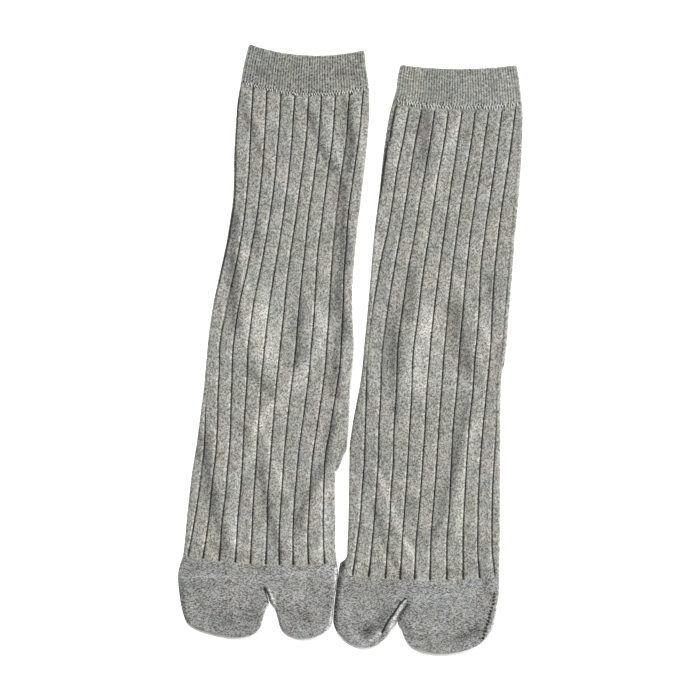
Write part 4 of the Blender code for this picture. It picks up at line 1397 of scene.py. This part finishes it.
class TabiKnit(bpy.types.PropertyGroup):
    """Sizes of the knitting."""

    furrow_width: metres(
        "Furrow width", "Width of the furrow between two wide ribs", 0.0008, 0.0005, 0.003)
    furrow_depth: metres(
        "Furrow depth", "Depth of the furrow between two wide ribs", 0.00085, 0.0, 0.0012)
    furrow_wander: metres(
        "Furrow wander", "How far a furrow strays from an even line", 0.0003, 0.0, 0.002)
    rib_rounding: metres(
        "Rib rounding", "How far a wide rib slopes down to its furrow", 0.0004, 0.0, 0.0008)
    cuff_ribs: bpy.props.IntProperty(
        name="Cuff ribs", description="Fine ribs across the front of a cuff",
        default=45, min=20, max=90)
    cuff_rib_depth: metres(
        "Cuff rib depth", "Depth between two fine ribs of the cuff", 0.00045, 0.0, 0.001)
    stitch_width: metres(
        "Stitch width", "Width of one stitch of the plain knitting", 0.00095, 0.0003, 0.003)
    stitch_height: metres(
        "Stitch height", "Height of one row of the knitting", 0.0008, 0.0003, 0.003)
    unevenness: metres(
        "Unevenness", "How far the laid cloth rises and falls", 0.0005, 0.0, 0.0015)
    creasing: amount(
        "Creasing", "Strength of the soft creases pressed into the cloth", 1.6, 3.0)
    # Strength of the painted highlight and shade along the creases
    crease_painted_shading: amount(
        "Crease tone", "How much paler or darker the cloth is along a crease", 0.32)
    fuzz: metres(
        "Fuzz", "Height of the small unevenness of the knitted face", 0.00006, 0.0, 0.0002, 6)


class TabiYarn(bpy.types.PropertyGroup):
    """Colours of the heather yarn."""

    dark_fibre: dye(
        "Dark fibre", "Colour of the darkest flecks of the yarn", (0.095, 0.0935, 0.0797))
    light_fibre: dye(
        "Light fibre", "Colour of the lightest flecks of the yarn", (0.690, 0.682, 0.636))
    cuff_tone: dye(
        "Cuff tone", "Tone of the cuffs beside that of the legs", (1.11, 1.13, 1.115), 0.2, 2.0)
    toe_tone: dye(
        "Toe tone", "Tone of the toes beside that of the legs", (0.8, 0.81, 0.84), 0.2, 2.0)
    leg_tone: dye(
        "Leg tone", "Tone of the legs beside that of the bare yarn", (0.955, 0.955, 0.94), 0.2, 2.0)
    joining_tone: dye(
        "Joining yarn tone", "Tone of the yarn that joins cuff and leg", (2.0, 2.0, 2.0), 0.2, 2.5)
    patches: amount("Patches", "How much darker the darkest patches of the cloth are", 0.31)
    furrow_shade: amount("Furrow shade", "How much darker the bottom of a furrow is", 0.95)
    seam_shade: amount("Seam shade", "How much darker the dots of a linked seam are", 2.0, 3.0)
    sheen: amount("Sheen", "Soft light that the loose fibres catch", 0.3)


class TabiStage(bpy.types.PropertyGroup):
    """The floor, the light and the view."""

    floor_colour: dye("Floor", "Colour of the pale floor", (0.96, 0.96, 0.95))
    sky: amount("Surrounding light", "Strength of the even light from all round", 0.5, 3.0)
    key: amount("Key light", "Strength of the broad light from the right", 3.1, 20.0)
    key_azimuth: angle("Key azimuth", "Where the key light stands, turned from straight right", 22)
    key_elevation: angle("Key elevation", "How high the key light stands", 38)
    key_softness: angle("Key softness", "How broad the key light looks from the socks", 45)
    floor_fill: amount(
        "Floor fill", "Strength of the light that clears the floor's shadows", 4.4, 20.0)
    view_width: metres(
        "View width", "Width of the floor that the camera sees", 0.4942, 0.1, 3.0, 4)
    view_height: metres(
        "View height", "How far above the socks the camera stands", 2.5, 0.5, 10.0, 2)
    view_centre: bpy.props.FloatVectorProperty(
        name="View centre", description="Place that the camera looks down on",
        size=2, default=(0.00016, 0.00071), precision=5, unit="LENGTH")


class TABI_OT_stage(bpy.types.Operator):
    """Lay the floor, light it and set the camera straight above"""

    bl_idname = "tabi.stage"
    bl_label = "Floor, Light and Camera"

    def execute(self, context):
        stage = context.scene.tabi_stage
        bpy.ops.mesh.primitive_plane_add(size=6.0, location=(0.0, 0.0, -0.1 * MM))
        floor = context.active_object
        floor.name = "floor"
        paint = bpy.data.materials.new("pale_floor")
        paint.use_nodes = True
        shader = paint.node_tree.nodes["Principled BSDF"]
        shader.inputs["Base Color"].default_value = (*stage.floor_colour, 1.0)
        shader.inputs["Roughness"].default_value = 0.9
        shader.inputs["Specular IOR Level"].default_value = 0.1
        floor.data.materials.append(paint)

        world = bpy.data.worlds.new("pale_room")
        world.use_nodes = True
        sky = world.node_tree.nodes["Background"]
        sky.inputs["Color"].default_value = (1.0, 1.0, 1.0, 1.0)
        sky.inputs["Strength"].default_value = stage.sky
        context.scene.world = world

        way = (stage.key_azimuth, stage.key_elevation, stage.key_softness)
        self.sun(context, "key", stage.key, *way)
        fill = self.sun(context, "floor_fill", stage.floor_fill, *FILL_ANGLES)
        lit = bpy.data.collections.new("lit_by_floor_fill")
        lit.objects.link(floor)
        fill.light_linking.receiver_collection = lit

        lens = bpy.data.cameras.new("camera")
        lens.sensor_width = 36.0
        lens.lens = lens.sensor_width * stage.view_height / stage.view_width
        camera = bpy.data.objects.new("camera", lens)
        camera.location = (*stage.view_centre, stage.view_height + LEG_THICK * MM)
        context.scene.collection.objects.link(camera)
        context.scene.camera = camera
        context.scene.view_settings.view_transform = "Standard"
        return {"FINISHED"}

    def sun(self, context, name, strength, azimuth, elevation, softness):
        """A far light that shines down from one side."""
        light = bpy.data.lights.new(name, "SUN")
        light.energy = strength
        light.angle = softness
        lamp = bpy.data.objects.new(name, light)
        lamp.rotation_euler = (0.0, math.pi / 2 - elevation, azimuth)
        context.scene.collection.objects.link(lamp)
        return lamp


def knit_pair(context, make, yarn):
    """Make one piece of each sock of the pair."""
    for sock in SOCKS:
        make(sock, context.scene.tabi_knit, material_for(yarn))
    return {"FINISHED"}


class TABI_OT_heels(bpy.types.Operator):
    """Fold the heel pouches flat beneath the socks"""

    bl_idname = "tabi.heels"
    bl_label = "Heels"

    def execute(self, context):
        return knit_pair(context, make_heel, "heel_yarn")


class TABI_OT_legs(bpy.types.Operator):
    """Knit the wide-ribbed legs and feet"""

    bl_idname = "tabi.legs"
    bl_label = "Legs and Feet"

    def execute(self, context):
        return knit_pair(context, make_leg, "wide_rib_yarn")


class TABI_OT_toes(bpy.types.Operator):
    """Knit the split toes"""

    bl_idname = "tabi.toes"
    bl_label = "Toes"

    def execute(self, context):
        return knit_pair(context, make_toe, "toe_yarn")


class TABI_OT_cuffs(bpy.types.Operator):
    """Knit the fine-ribbed cuffs"""

    bl_idname = "tabi.cuffs"
    bl_label = "Cuffs"

    def execute(self, context):
        return knit_pair(context, make_cuff, "fine_rib_yarn")


class TABI_OT_stitches(bpy.types.Operator):
    """Join the cuffs to the legs with loops of yarn"""

    bl_idname = "tabi.stitches"
    bl_label = "Joining Stitches"

    def execute(self, context):
        return knit_pair(context, make_stitches, "joining_yarn")


STEPS = (
    TABI_OT_stage, TABI_OT_heels, TABI_OT_legs, TABI_OT_toes, TABI_OT_cuffs, TABI_OT_stitches,
)
SETTINGS = (
    ("tabi_knit", "Knitting", TabiKnit),
    ("tabi_yarn", "Yarn", TabiYarn),
    ("tabi_stage", "Stage", TabiStage),
)


class TABI_PT_panel(bpy.types.Panel):
    """Settings and steps of the pair of socks"""

    bl_label = "Tabi Socks"
    bl_idname = "TABI_PT_panel"
    bl_space_type = "VIEW_3D"
    bl_region_type = "UI"
    bl_category = "Tabi Socks"

    def draw(self, context):
        for step in STEPS:
            self.layout.operator(step.bl_idname)
        for key, title, kind in SETTINGS:
            box = self.layout.box()
            box.label(text=title)
            for name in kind.__annotations__:
                box.prop(getattr(context.scene, key), name)


CLASSES = (*(kind for _, _, kind in SETTINGS), *STEPS, TABI_PT_panel)


def register():
    for cls in CLASSES:
        bpy.utils.register_class(cls)
    for key, _, kind in SETTINGS:
        setattr(bpy.types.Scene, key, bpy.props.PointerProperty(type=kind))


def unregister():
    for key, _, _ in SETTINGS:
        delattr(bpy.types.Scene, key)
    for cls in reversed(CLASSES):
        bpy.utils.unregister_class(cls)


def main():
    register()
    bpy.ops.tabi.stage()
    bpy.ops.tabi.heels()
    bpy.ops.tabi.legs()
    bpy.ops.tabi.toes()
    bpy.ops.tabi.cuffs()
    bpy.ops.tabi.stitches()


if __name__ == "__main__":
    main()
